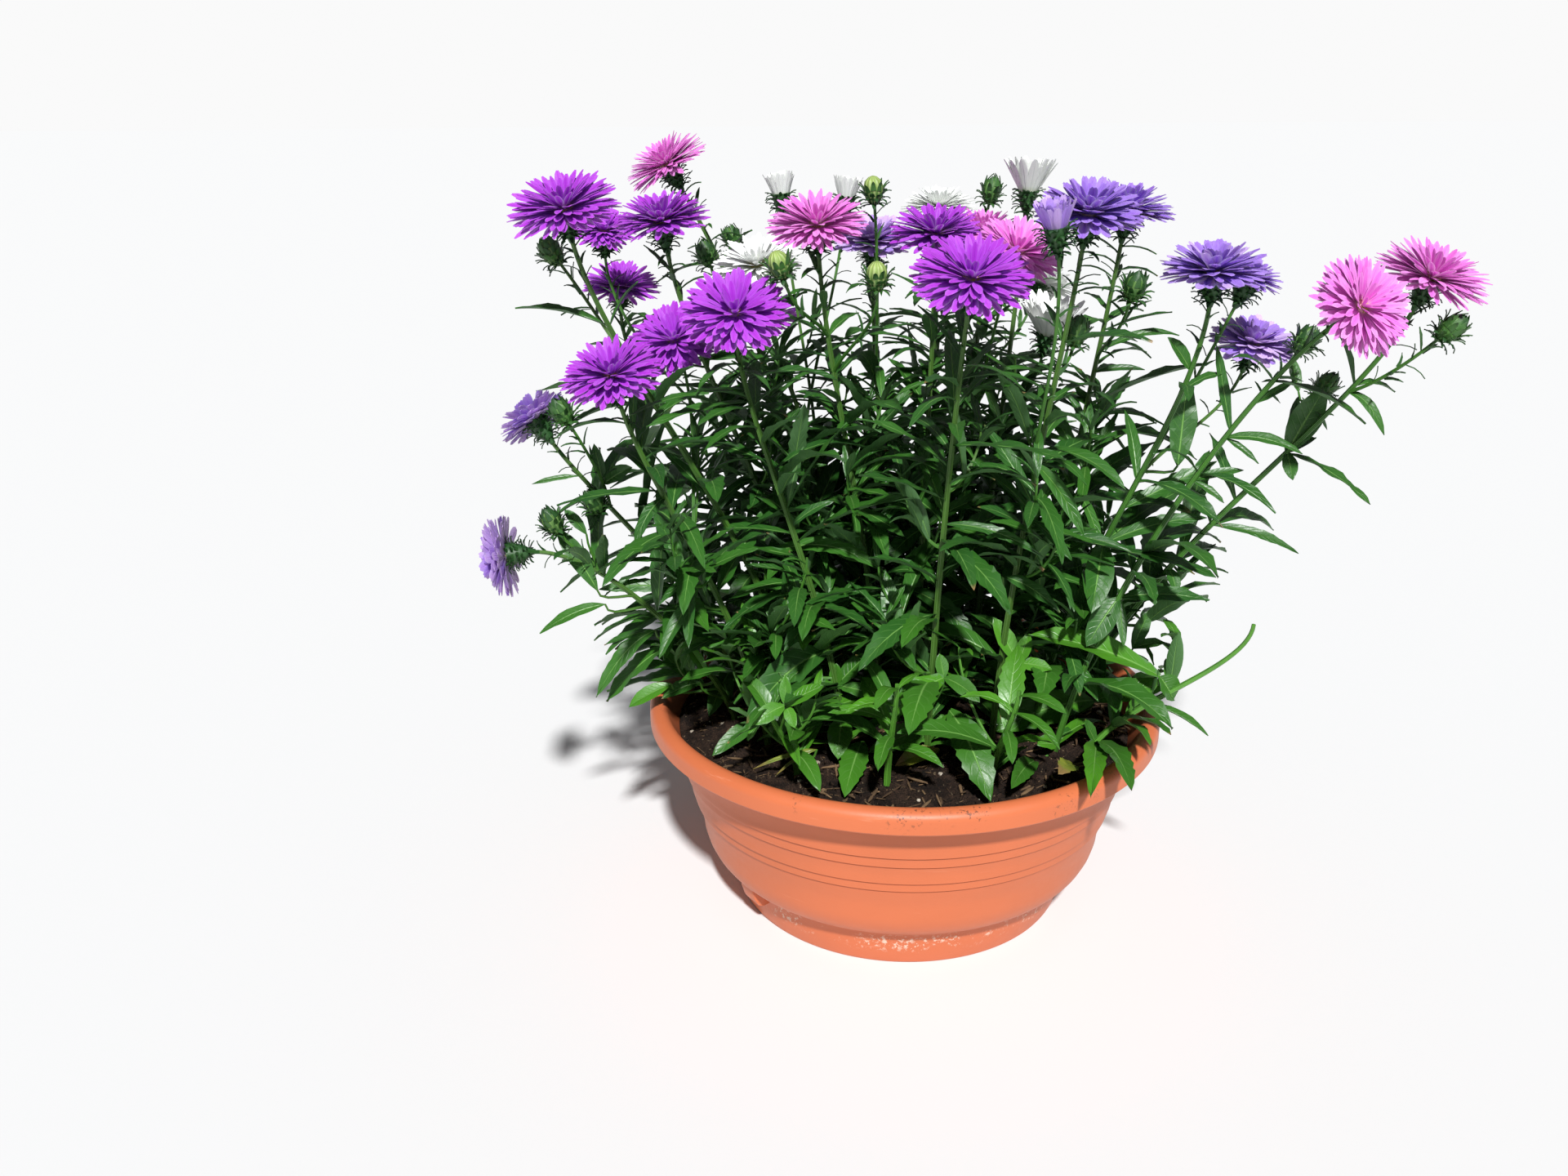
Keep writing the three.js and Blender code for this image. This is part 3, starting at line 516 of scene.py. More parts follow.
def head_of(head, is_open):
    shade, centre, facing, grade, *pale = head
    way = unit(facing)
    seat, end = away(centre, way, -SEAT_DEPTH), away(centre, way, -NECK_LENGTH)
    return Head(shade, way, grade, sum(pale), is_open, seat, end)


def bud_way(bud, root):
    return unit(((bud[0] - root[0]) * BUD_LEAN, (bud[1] - root[1]) * BUD_LEAN, BUD_RISE))


def bloom_radius(shade):
    return mm(getattr(bpy.context.scene.aster_bloom, f"{shade}_radius"))


class Balls:
    """The room that all the blooms, cups and buds keep free of leaves."""

    def __init__(self, balls):
        self.at = np.array([ball.at for ball in balls])
        self.way = np.array([ball.way for ball in balls])
        self.radius, self.below, self.above = np.array([ball[2:] for ball in balls]).T

    def are_clear(self, points):
        gap = points[:, None] - self.at[None]
        up = (gap * self.way[None]).sum(2)
        out = np.sqrt(np.maximum((gap * gap).sum(2) - up * up, 0))
        return not ((up > -self.below) & (up < self.above) & (out < self.radius)).any()


class Crowd:
    """Everything that stands in the way of a leaf, as points in cubes of 10 mm."""

    def __init__(self):
        self.cells = {}
        self.balls = None

    @staticmethod
    def key(x, y, z):
        return (math.floor(x / CUBE), math.floor(y / CUBE), math.floor(z / CUBE))

    def occupy(self, point, owner):
        self.cells.setdefault(self.key(*point), []).append((point, owner))

    def is_free(self, point, owner):
        for i in (-1, 0, 1):
            for j in (-1, 0, 1):
                for k in (-1, 0, 1):
                    key = self.key(point[0] + i * CUBE, point[1] + j * CUBE, point[2] + k * CUBE)
                    for other, its in self.cells.get(key, ()):
                        room = CLEARANCE * OWN_SHARE if its == owner else CLEARANCE
                        if size(sub(point, other)) < room:
                            return False
        return True

    def fits(self, points, owner):
        if not clear_of_bowl(points).all() or not self.balls.are_clear(points):
            return False
        return all(self.is_free(point, owner) for point in points.tolist())


def clear_of_bowl(points):
    """Which points lie above the soil and the rim, or hang only a little below the rim outside it."""
    bowl = bpy.context.scene.aster_bowl
    x, y, z = points.T
    out = np.hypot(x, y)
    lowest = np.full(len(z), mm(bowl.height) - BELOW_RIM)
    lowest[out < mm(bowl.rim_radius) + OVER_RIM * 1.5] = mm(bowl.height) + OVER_RIM
    inside = out < mm(bowl.neck_radius) - OVER_RIM * 2
    lowest[inside] = soil_top(x, y)[inside] + OVER_SOIL
    return z > lowest


def unit_rows(rows):
    return rows / np.linalg.norm(rows, axis=1, keepdims=True)


def leaf_spine(frame, turn, open_by, droop, length):
    """A spine leaves the stem at an angle and arches over."""
    ahead = np.array(frame.ahead)
    out = np.array(frame.side) * math.cos(turn) + np.array(frame.third) * math.sin(turn)
    first = ahead * math.cos(open_by) + out * math.sin(open_by)
    t = np.arange(SPINE_STEPS + 1) / SPINE_STEPS
    way = unit_rows(first - np.outer(t, (0, 0, droop)))
    steps = np.cumsum(way[1:], axis=0) * (length / SPINE_STEPS)
    points = np.array(frame.at) + np.concatenate([np.zeros((1, 3)), steps])
    up = np.array(unit(add(scale(frame.ahead, 0.5), (0, 0, 0.5)))) + out * 0.15
    lateral = unit_rows(np.cross(way, up))
    return points, lateral, np.cross(lateral, way)


def leaf_width(t):
    """The share of a leaf's full width at a share of its length."""
    return np.sin(np.pi * t**0.85) * (1 - 0.25 * t) * 1.12 + 0.1 * (1 - t)


LEAF_SHARES = leaf_width(np.arange(SPINE_STEPS + 1) / SPINE_STEPS)


def leaf_points(spine, width):
    """Points all over a leaf, away from its foot."""
    points, lateral, _ = (rows[2:] for rows in spine)
    half = LEAF_SHARES[2:, None] * width / 2
    broad, broader = half[:, 0] > BROAD_HALF, half[:, 0] > BROADER_HALF
    parts = [points]
    parts += [(points + lateral * half * side)[broad] for side in (1, -1)]
    parts += [(points + lateral * half * side)[broader] for side in (0.5, -0.5)]
    return np.concatenate(parts)


def place_leaf(crowd, frames, site, face, taken, form, owner):
    yaw, open_by, droop, length, slim = form
    for i, step in enumerate(TRIES):
        grown = (face + step + STEM_SIDES) % STEM_SIDES
        if grown == taken:
            continue
        turn = ((grown + 0.5) / STEM_SIDES) * math.pi * 2 + yaw
        reach = length * (1 - 0.06 * i)
        spine = leaf_spine(frames[site], turn, open_by, droop, reach)
        points = leaf_points(spine, reach * slim)
        if crowd.fits(points, owner):
            for point in points.tolist():
                crowd.occupy(point, owner)
            return grown, Leaf(site, spine, reach, reach * slim)
    return None, None


def leaves_along(crowd, frames, owner, joints, stretch, lengths, draw):
    """A joint bears two leaves, the second one smaller, and the next joint's leaves turn on by two faces."""
    leaves = []
    face = math.floor(draw() * STEM_SIDES)
    for i in range(joints):
        share = stretch[0] + (stretch[1] - stretch[0]) * ((i + 0.5) / joints)
        site = round_up(share * (len(frames) - 1))
        rise = i / max(joints - 1, 1)
        taken = -1
        for part in (1, SECOND_LEAF):
            length = (lengths[0] + (lengths[1] - lengths[0]) * rise) * part * (0.88 + 0.24 * draw())
            yaw = (draw() - 0.5) * 0.7
            open_by = 0.75 + 0.35 * draw()
            droop = 0.45 + 0.6 * draw()
            slim = LEAF_SLIM * (0.85 + 0.3 * draw())
            form = (yaw, open_by, droop, length, slim)
            grown, leaf = place_leaf(crowd, frames, site, face, taken, form, owner)
            if leaf:
                leaves.append(leaf)
                taken = grown
            face = (face + 2) % STEM_SIDES
    return leaves


@functools.cache
def planting():
    """The whole planting, laid out once before any of it is built."""
    crowd = Crowd()
    plants = [lay_stem(index, stem) for index, stem in enumerate(STEMS)]
    for index, shoot in enumerate(SHOOTS):
        trunk = stem_path(shoot["root"], shoot["tip"], (0, 0, 1))
        plants.append(Plant(len(STEMS) + index, trunk, shoot))
    for plant in plants:
        for path in [plant.trunk, *plant.branches]:
            for point in path:
                crowd.occupy(point, plant.owner)
    crowd.balls = Balls([ball for plant in plants for ball in keep_free(plant)])
    foliage = bpy.context.scene.aster_foliage
    for plant in plants:
        draw = make_draw(LEAF_SEED + plant.owner * LEAF_SEED_STEP)
        frames = frames_of(plant.trunk)
        if plant.shoot:
            lengths = (mm(foliage.low_shoot_leaf), mm(foliage.high_shoot_leaf))
            joints, stretch = plant.shoot["joints"], shoot_stretch(plant.shoot)
        else:
            lengths = (mm(foliage.low_leaf), mm(foliage.high_leaf))
            joints, stretch = round_up((len(frames) * SAMPLE) / JOINT_SPACING), STEM_LEAVES
        plant.leaves = leaves_along(crowd, frames, plant.owner, joints, stretch, lengths, draw)
    fill_out(plants, crowd.balls)
    return plants


def shoot_stretch(shoot):
    """The stretch of a shoot that bears leaves."""
    return (SHOOT_LEAVES[0], SHOOT_LEAVES[1] - shoot.get("bare", 0))


def lay_stem(index, stem):
    heads = [head_of(head, False) for head in stem.get("blooms", ())]
    heads += [head_of(head, True) for head in stem.get("opening", ())]
    plant = Plant(index, stem_path(stem["root"], heads[0].end, heads[0].way))
    plant.heads = heads
    for i, head in enumerate(heads[1:]):
        plant.branches.append(branch_path(plant.trunk, FIRST_FORK + FORK_STEP * i, head.end, head.way))
    for i, bud in enumerate(stem.get("buds", ())):
        way = bud_way(bud, stem["root"])
        end = away(bud, way, -BUD_DEPTH)
        plant.branches.append(branch_path(plant.trunk, FIRST_BUD_FORK + FORK_STEP * i, end, way))
        plant.buds.append((bud, way))
    return plant


def keep_free(plant):
    balls = []
    for head in plant.heads:
        radius = head.grade * (OPENING_RADIUS if head.open else bloom_radius(head.colour) + PETAL_GAP)
        balls.append(Ball(head.seat, head.way, radius, *(OPENING_ROOM if head.open else BLOOM_ROOM)))
        balls.append(Ball(head.seat, head.way, *CUP_ROOM))
    balls += [Ball(at, way, *BUD_ROOM) for at, way in plant.buds]
    return balls


# The camera, and what it sees of the planting
CAMERA_PLACE = (0.0, -0.6792, 0.4227)
CAMERA_TURN = (69.977, 0.465, 5.324)
SENSOR_WIDTH = 36
FRAME_SIZE = (1920, 1440)
VIEW_CELL = 10
HIDDEN_SHARE = 0.1
FAR_DEPTH = 5000
# Boxes of pixels (left, top, right, bottom) where the photograph shows bare soil, or nothing of the plants
OPEN_VIEWS = (
    (1045, 940, 1230, 1000),
    (865, 885, 925, 940),
    (1350, 868, 1410, 930),
    (1500, 590, 1920, 1000),
    (1450, 740, 1500, 1000),
    (1610, 530, 1920, 590),
    (1405, 865, 1500, 1000),
    (560, 740, 655, 1000),
    (655, 865, 790, 1000),
    (560, 560, 650, 620),
    (690, 385, 740, 470),
)


class View:
    """The photograph's view of the planting: what shows in it plainly, as depths in cells of its pixels."""

    def __init__(self):
        turn = Euler([math.radians(angle) for angle in CAMERA_TURN], "XYZ")
        self.axes = np.array(turn.to_matrix())
        self.place = np.array(CAMERA_PLACE) / MM
        self.focal = round(bpy.context.scene.aster_studio.lens, 3) / SENSOR_WIDTH * FRAME_SIZE[0]
        self.nearest = np.full((FRAME_SIZE[0] // VIEW_CELL, FRAME_SIZE[1] // VIEW_CELL), np.inf)
        for left, top, right, bottom in (np.array(box) // VIEW_CELL for box in OPEN_VIEWS):
            self.nearest[left:right, top:bottom] = FAR_DEPTH

    def pixels(self, points):
        """The pixels and the depths of points."""
        right, up, back = ((np.asarray(points, float) - self.place) @ self.axes).T
        across = FRAME_SIZE[0] / 2 + self.focal * right / -back
        down = FRAME_SIZE[1] / 2 - self.focal * up / -back
        return np.stack([across, down], axis=1), -back

    def point(self, across, down, depth):
        """The point that shows at a pixel, at a depth."""
        right, up = (across - FRAME_SIZE[0] / 2) / self.focal, (FRAME_SIZE[1] / 2 - down) / self.focal
        return self.place + self.axes @ (np.array((right, up, -1)) * depth)

    def cells(self, points):
        pixels, depths = self.pixels(points)
        rows = np.clip((pixels / VIEW_CELL).astype(int), 0, np.array(self.nearest.shape) - 1)
        return tuple(rows.T), depths

    def show(self, points):
        cells, depths = self.cells(points)
        np.minimum.at(self.nearest, cells, depths)

    def is_hidden_by(self, points):
        """Whether a leaf would stand in front of something that shows plainly."""
        cells, depths = self.cells(points)
        shown = self.nearest[cells]
        return (np.isfinite(shown) & (depths < shown - 1)).mean() > HIDDEN_SHARE


# Leaves that show plainly in the photograph, in clusters. A cluster gives the pixel of its foot, how its
# leaves are coloured, and for each leaf the pixel of its tip, its width, how high it arches as a share of
# its length, and how far its tip comes forward.
SHOWN_LEAVES = (
    (914, 593, "grown", (863, 647, 7, 0.32, 12)),
    (932, 686, "grown", (888, 768, 12, 0.32, 14)),
    (936, 682, "grown", (1085, 702, 10, 0.36, 16)),
    (1126, 655, "grown", (1083, 692, 12, 0.2, 12), (1222, 608, 9, 0.2, 0)),
    (1110, 722, "grown", (1207, 812, 11, 0.34, 18)),
    (1003, 640, "grown", (1030, 558, 15, 0.0, 6)),
    (956, 646, "grown", (1022, 614, 6, 0.2, 5)),
    (1016, 668, "grown", (1064, 720, 7, 0.15, 10)),
    (1024, 796, "grown", (914, 886, 17, 0.3, 20)),
    (925, 884, "grown", (872, 926, 9, 0.12, 12)),
    (962, 864, "young", (1010, 840, 9, 0.1, 8), (962, 826, 6, 0, 4),
     (922, 888, 9, 0.15, 10), (974, 892, 6, 0.1, 10)),
    (1031, 850, "young", (1024, 812, 7, 0, 4), (1063, 800, 10, 0, 6),
     (1088, 860, 8, 0.12, 10), (1003, 842, 6, 0.1, 8)),
    (1115, 843, "grown", (1055, 832, 10, 0.15, 8)),
    (1156, 830, "young", (1098, 880, 14, 0.22, 16), (1200, 860, 9, 0.2, 12), (1150, 800, 7, 0, 4)),
    (1030, 884, "grown", (1026, 930, 13, 0.2, 14)),
    (1056, 908, "grown", (1034, 976, 13, 0.15, 14)),
    (1190, 884, "grown", (1062, 922, 14, 0.16, 10)),
    (1150, 918, "yellowed", (1096, 938, 9, 0.1, 8)),
    (1258, 572, "grown", (1328, 658, 9, 0.2, 8)),
    (1148, 652, "grown", (1277, 682, 7, 0.2, 6)),
    (1196, 742, "young", (1254, 770, 7, 0.36, 10), (1146, 693, 6, 0.1, 4)),
    (1228, 706, "grown", (1298, 750, 9, 0.2, 8)),
    (1350, 676, "grown", (1336, 752, 17, 0.1, 16)),
    (1372, 740, "grown", (1330, 792, 14, 0.1, 0), (1376, 792, 6, 0.05, 4)),
    (1343, 664, "grown", (1478, 634, 10, 0.14, 8)),
    (1368, 632, "grown", (1490, 565, 10, 0.0, 4)),
    (1334, 586, "grown", (1414, 542, 13, 0.05, 0), (1400, 618, 8, 0.1, 6)),
    (1420, 828, "grown", (1256, 778, 15, 0.14, 12), (1437, 858, 14, 0.1, 0)),
    (1340, 858, "grown", (1218, 896, 19, 0.16, 12), (1434, 838, 13, 0.08, 4)),
    (1182, 816, "young", (1278, 860, 13, 0.26, 14)),
    (1264, 836, "grown", (1298, 882, 12, 0.12, 12)),
    (1247, 812, "young", (1216, 756, 10, 0, 4), (1261, 776, 8, 0, 6), (1288, 820, 8, 0.1, 10)),
    (1163, 870, "young", (1213, 982, 17, 0.22, 22)),
    (1186, 858, "grown", (1224, 890, 10, 0.15, 10)),
    (1306, 915, "young", (1270, 912, 9, 0.15, 8)),
    (1268, 932, "young", (1238, 966, 10, 0.15, 10)),
    (1330, 912, "young", (1336, 976, 11, 0.2, 14), (1386, 968, 12, 0.2, 16), (1328, 880, 6, 0, 4)),
    (1387, 794, "grown", (1408, 746, 8, 0, 6), (1426, 787, 6, 0.15, 4)),
    (1376, 742, "grown", (1481, 735, 10, 0.12, 6)),
    (1344, 440, "grown", (1444, 411, 6, 0.26, 4)),
    (1340, 470, "grown", (1402, 453, 5, 0.15, 4)),
    (1442, 570, "grown", (1454, 466, 16, 0.02, 8)),
    (1453, 466, "grown", (1430, 413, 9, 0.1, 4)),
    (1497, 525, "grown", (1489, 420, 7, 0.0, 6)),
    (1490, 542, "grown", (1595, 556, 8, 0.2, 8), (1541, 568, 5, 0.1, 4)),
    (1570, 562, "grown", (1622, 476, 18, 0.04, 10), (1612, 536, 8, 0.1, 0), (1583, 588, 9, 0.1, 8)),
    (1642, 486, "grown", (1695, 533, 7, 0.34, 6)),
    (1507, 624, "grown", (1481, 530, 8, 0.1, 8)),
    (1478, 648, "grown", (1590, 678, 6, 0.16, 6)),
    (1526, 502, "grown", (1586, 466, 5, 0.0, 4)),
    (1590, 480, "grown", (1580, 434, 8, 0.0, 0)),
    (1470, 598, "grown", (1523, 576, 6, 0.1, 4), (1499, 616, 5, 0.12, 4)),
    (1420, 690, "grown", (1441, 727, 8, 0.15, 6)),
    (741, 740, "grown", (661, 776, 8, 0.16, 6)),
    (802, 772, "grown", (730, 854, 9, 0.28, 8), (740, 790, 5, 0.1, 0)),
    (822, 838, "grown", (770, 866, 9, 0.1, 4)),
    (857, 836, "grown", (810, 856, 9, 0.15, 8)),
    (851, 788, "young", (868, 830, 6, 0.12, 6)),
    (896, 824, "grown", (868, 878, 11, 0.15, 10)),
    (735, 602, "grown", (727, 543, 8, 0, 4), (774, 572, 11, 0.08, 6)),
    (702, 592, "grown", (651, 593, 4, 0.08, 2)),
    (718, 654, "grown", (691, 624, 7, 0.1, 4)),
    (731, 722, "grown", (682, 648, 11, 0.12, 6)),
    (808, 616, "grown", (776, 670, 9, 0.3, 10)),
    (841, 728, "grown", (732, 722, 8, 0.12, 4), (760, 752, 8, 0.1, 2)),
    (881, 602, "grown", (811, 552, 8, 0.05, 6)),
    (1318, 940, "yellowed", (1296, 948, 9, 0.1, 6)),
    (1000, 918, "withered", (922, 942, 2.4, 0.12, 2), (950, 950, 2.2, 0.2, 2), (962, 930, 2, 0.2, 2)),
)
TONES = {"grown": None, "young": 0.22, "yellowed": 2.0, "withered": 1.55}
NEAR_PIXELS = 14
DEPTH_COST = 0.12
TWIG_BACK = 5
TWIG_FORWARD = 4
FORWARD_TRIES = 12
FORWARD_STEP = 6
BLADE_FACE = (0.0, -0.62, 0.78)


def arched_spine(foot, tip, arch):
    """A spine from a foot to a tip that bends up in the middle. The blade faces up and forwards."""
    t = np.linspace(0, 1, SPINE_STEPS + 1)[:, None]
    middle = (foot + tip) / 2 + np.array((0, -0.25, 1)) * arch * np.linalg.norm(tip - foot)
    points = (1 - t) ** 2 * foot + 2 * t * (1 - t) * middle + t**2 * tip
    way = unit_rows(np.gradient(points, axis=0))
    lateral = unit_rows(np.cross(way, BLADE_FACE))
    return points, lateral, np.cross(lateral, way)


def shown_leaf(view, foot, depth, leaf, age):
    """A leaf that ends at its pixel, brought forwards until it is clear of the bowl."""
    across, down, width, arch, forward = leaf
    for i in range(FORWARD_TRIES):
        tip = view.point(across, down, depth - forward - i * FORWARD_STEP)
        spine = arched_spine(foot, tip, arch)
        points = leaf_points(spine, width)
        if clear_of_bowl(points).all():
            break
    reach = np.linalg.norm(np.diff(spine[0], axis=0), axis=1).sum()
    view.show(points)
    return Leaf(0, spine, reach, width, age)


def lay_shown(plants, view):
    """Each cluster grows from the nearest stem that passes its pixel, or from a twig of the one beside it."""
    paths = [(plant, path) for plant in plants for path in [plant.trunk, *plant.branches]]
    sites = [(plant, path, i) for plant, path in paths for i in range(len(path))]
    pixels, depths = view.pixels([path[i] for _, path, i in sites])
    for across, down, tone, *leaves in SHOWN_LEAVES:
        off = np.linalg.norm(pixels - (across, down), axis=1)
        passing = np.where(off < NEAR_PIXELS, depths, np.inf)
        best = int(passing.argmin() if np.isfinite(passing.min()) else (off + depths * DEPTH_COST).argmin())
        plant, path, i = sites[best]
        if off[best] < NEAR_PIXELS:
            foot, stalk = path[i], None
        else:
            foot = tuple(view.point(across, down, depths[best] - TWIG_FORWARD))
            start = path[max(i - TWIG_BACK, 0)]
            reach = size(sub(foot, start))
            low, high = away(start, (0, 0, 1), 0.25 * reach), away(foot, (0, 0, 1), -0.4 * reach)
            stalk = curve_from(start, low, high, foot, max(5, round_up(reach / SAMPLE)))
        grown = [shown_leaf(view, np.array(foot), depths[best], leaf, TONES[tone]) for leaf in leaves]
        if stalk:
            plant.twigs.append((stalk, grown))
        else:
            plant.extras += grown


# The leaves that fill the plants out: side twigs, then long leaves, and then small ones in the gaps
EXTRA_SEED = 4001
GOLDEN_TURN = 2.39996
ROOM_CUBE = 2.5
CROSSINGS = 4
LEAF_HEIGHTS = (105, 150, 200, 270, 320, 370)
LEAF_LENGTHS = (46, 62, 72, 60, 30, 15)
SLIM_HEIGHTS = (110, 150, 200, 300)
SLIM_SHARES = (0.27, 0.25, 0.21, 0.17)
THIN_PLANTS = (0, 6, 7, 18, 19, 20)
THIN_ABOVE = 225
NO_TWIGS_ABOVE = 170
LEAF_TRIES = 7
TRY_SHRINK = 0.07
TRY_TURN = 0.9
EXTRA_EVERY = 3
THIN_EVERY = 12
SHORTEST_EXTRAS = (34, 16)
SHOOT_LEAF_SHARE = 0.66
BLOOM_SHARES = (0.2, 0.4, 0.6, 0.8, 0.95)
BLOOM_TURNS = 24


class Room:
    """The space round the plants in small cubes, each one taken or free."""

    def __init__(self, balls, view):
        self.low, self.high = (np.array(corner) / MM for corner in CAD_BOX)
        shape = np.ceil((self.high - self.low) / ROOM_CUBE).astype(int) + 1
        self.taken = np.zeros(shape, bool)
        self.balls = balls
        self.view = view

    def cells(self, points):
        rows = np.floor((points - self.low) / ROOM_CUBE).astype(int)
        return tuple(np.clip(rows, 0, np.array(self.taken.shape) - 1).T)

    def fill(self, points):
        self.taken[self.cells(np.asarray(points))] = True

    def is_free(self, points, skip):
        """A leaf keeps inside the part's box, and may cross others in a few small places."""
        points = np.asarray(points, float)
        if (points < self.low).any() or (points > self.high).any():
            return False
        if self.taken[self.cells(points[skip:])].sum() > CROSSINGS or self.view.is_hidden_by(points):
            return False
        return bool(clear_of_bowl(points).all()) and self.balls.are_clear(points)


def slim_at(height, draw):
    """A leaf's width as a share of its length: broad near the soil, and narrow higher up."""
    return float(np.interp(height, SLIM_HEIGHTS, SLIM_SHARES)) * (0.85 + 0.3 * draw())


def length_at(height, draw):
    """A leaf's length by its height: longest half way up, and short under the blooms."""
    return float(np.interp(height, LEAF_HEIGHTS, LEAF_LENGTHS)) * (0.72 + 0.45 * draw())


def try_leaf(room, leaves, frame, site, turn, form, shortest):
    """A leaf that meets something turns on and gets shorter, and is left out below the shortest length."""
    open_by, droop, length, slim = form
    for i in range(LEAF_TRIES):
        reach = length * (1 - TRY_SHRINK * i)
        if reach < shortest:
            return
        spine = leaf_spine(frame, turn + TRY_TURN * i, open_by, droop, reach)
        points = leaf_points(spine, reach * slim)
        if room.is_free(points, 4):
            room.fill(points)
            leaves.append(Leaf(site, spine, reach, reach * slim))
            return


def show_bloom(view, head):
    """Keeps an open bloom in plain view."""
    frame = head_frame(head.seat, head.way, (0.3, 0.6, 0.3))
    turns = np.linspace(0, 2 * math.pi, BLOOM_TURNS, endpoint=False)
    for share in BLOOM_SHARES:
        ring = [
            np.array(head.seat) + direction(frame, turn) * share * bloom_radius(head.colour) * head.grade
            for turn in turns
        ]
        view.show(ring)
        view.show([point + np.array(head.way) * 9 * (1 - share * 0.5) for point in ring])


def fill_out(plants, balls):
    view = View()
    lay_shown(plants, view)
    for plant in plants:
        for head in plant.heads:
            show_bloom(view, head)
    room = Room(balls, view)
    for plant in plants:
        for path in [plant.trunk, *plant.branches, *(path for path, _ in plant.twigs)]:
            room.fill(path)
        for leaf in [*plant.leaves, *plant.extras, *(leaf for _, leaves in plant.twigs for leaf in leaves)]:
            room.fill(leaf_points(leaf.spine, leaf.width))
    for plant in plants:
        grow_twigs(room, plant, make_draw(EXTRA_SEED + plant.owner * LEAF_SEED_STEP))
    for step, shortest in enumerate(SHORTEST_EXTRAS, 1):
        for plant in plants:
            draw = make_draw(EXTRA_SEED * (1 + step) + plant.owner * LEAF_SEED_STEP)
            every = THIN_EVERY if plant.owner in THIN_PLANTS else EXTRA_EVERY
            grow_extras(room, plant, step, every, shortest, draw)
    for plant in plants:
        draw = make_draw(EXTRA_SEED * 4 + plant.owner * LEAF_SEED_STEP)
        for path in plant.branches:
            grow_small_leaves(room, plant, path, draw)


def grow_extras(room, plant, first, every, shortest, draw):
    """More leaves along a trunk, each one turned on from the last."""
    frames = frames_of(plant.trunk)
    used = {leaf.site for leaf in plant.leaves}
    last = round((shoot_stretch(plant.shoot)[1] if plant.shoot else 1) * (len(frames) - 1))
    turn = draw() * 6
    for site in range(first, last, every):
        turn += GOLDEN_TURN
        height = frames[site].at[2]
        longest = length_at(height, draw) * (SHOOT_LEAF_SHARE if plant.shoot else 1)
        form = (0.7 + 0.6 * draw(), 0.25 + 0.95 * draw(), longest, slim_at(height, draw))
        if site not in used and not (plant.owner in THIN_PLANTS and height > THIN_ABOVE):
            try_leaf(room, plant.extras, frames[site], site, turn, form, min(shortest, longest * 0.8))


def grow_small_leaves(room, plant, path, draw):
    """Small narrow leaves along a branch."""
    frames = frames_of(path)
    turn = draw() * 6
    for site in range(2, len(frames) - 1, 4):
        turn += GOLDEN_TURN
        form = (0.5 + 0.5 * draw(), 0.2 + 0.6 * draw(), 6 + 10 * draw() ** 3, 0.22)
        try_leaf(room, plant.extras, frames[site], site, turn, form, 6)


# Side twigs: a leafy shoot in the angle of a leaf
TWIG_SHARES = (0.06, 0.14, 0.22, 0.31, 0.40, 0.50)
TWIG_TRIES = 6
TWIG_TURN = 1.05
TWIG_SHRINK = 0.08
TIP_LEAF, TWIG_LEAF = 24, 40


def grow_twigs(room, plant, draw):
    """A twig that meets something turns on and gets shorter, and is left out after its last try."""
    frames = frames_of(plant.trunk)
    turn = draw() * 6
    for share in TWIG_SHARES:
        turn += GOLDEN_TURN
        site = round_up((share + 0.05 * draw()) * (len(frames) - 1))
        frame = frames[site]
        if plant.owner in THIN_PLANTS and frame.at[2] > NO_TWIGS_ABOVE:
            continue
        for i in range(TWIG_TRIES):
            angle = turn + i * TWIG_TURN
            out = add(scale(frame.side, math.cos(angle)), scale(frame.third, math.sin(angle)))
            reach = (30 + 36 * draw()) * (1 - TWIG_SHRINK * i)
            end = away(away(frame.at, out, reach * 0.62), (0, 0, 1), reach * 0.75)
            low, high = away(frame.at, out, reach * 0.3), away(end, (0, 0, 1), -reach * 0.3)
            path = curve_from(frame.at, low, high, end, max(6, round_up(reach / SAMPLE)))
            if room.is_free(path, 3):
                room.fill(path[2:])
                plant.twigs.append((path, twig_leaves(room, path, draw)))
                break


def twig_leaves(room, path, draw):
    """Leaves up a twig, and a small rosette at its tip."""
    frames = frames_of(path)
    sites = [*range(2, len(frames)), *[len(frames) - 1] * 3]
    leaves = []
    turn = draw() * 6
    for site in sites:
        turn += GOLDEN_TURN
        last = site >= len(frames) - 2
        longest = (TIP_LEAF if last else TWIG_LEAF) * (0.7 + 0.6 * draw())
        slim = slim_at(frames[site].at[2], draw)
        form = ((0.5 if last else 0.8) + 0.35 * draw(), 0.2 + 0.8 * draw(), longest, slim)
        try_leaf(room, leaves, frames[site], site, turn, form, 12)
    return leaves


# Strips that are modelled once and laid along many spines
class Strip(NamedTuple):
    """A closed strip: x from -1 to 1 across, y from 0 to 1 along, and z from -1 to 1 through it."""

    places: np.ndarray
    corners: np.ndarray
    sizes: np.ndarray
    uvs: np.ndarray


def clear_selection():
    if bpy.context.object and bpy.context.object.mode != "OBJECT":
        bpy.ops.object.mode_set(mode="OBJECT")
    bpy.ops.object.select_all(action="DESELECT")


def edit_all():
    """Opens the new shape for modelling, with all of it selected."""
    bpy.ops.object.mode_set(mode="EDIT")
    bpy.ops.mesh.select_all(action="SELECT")


def face_outwards():
    bpy.ops.mesh.select_all(action="SELECT")
    bpy.ops.mesh.normals_make_consistent(inside=False)


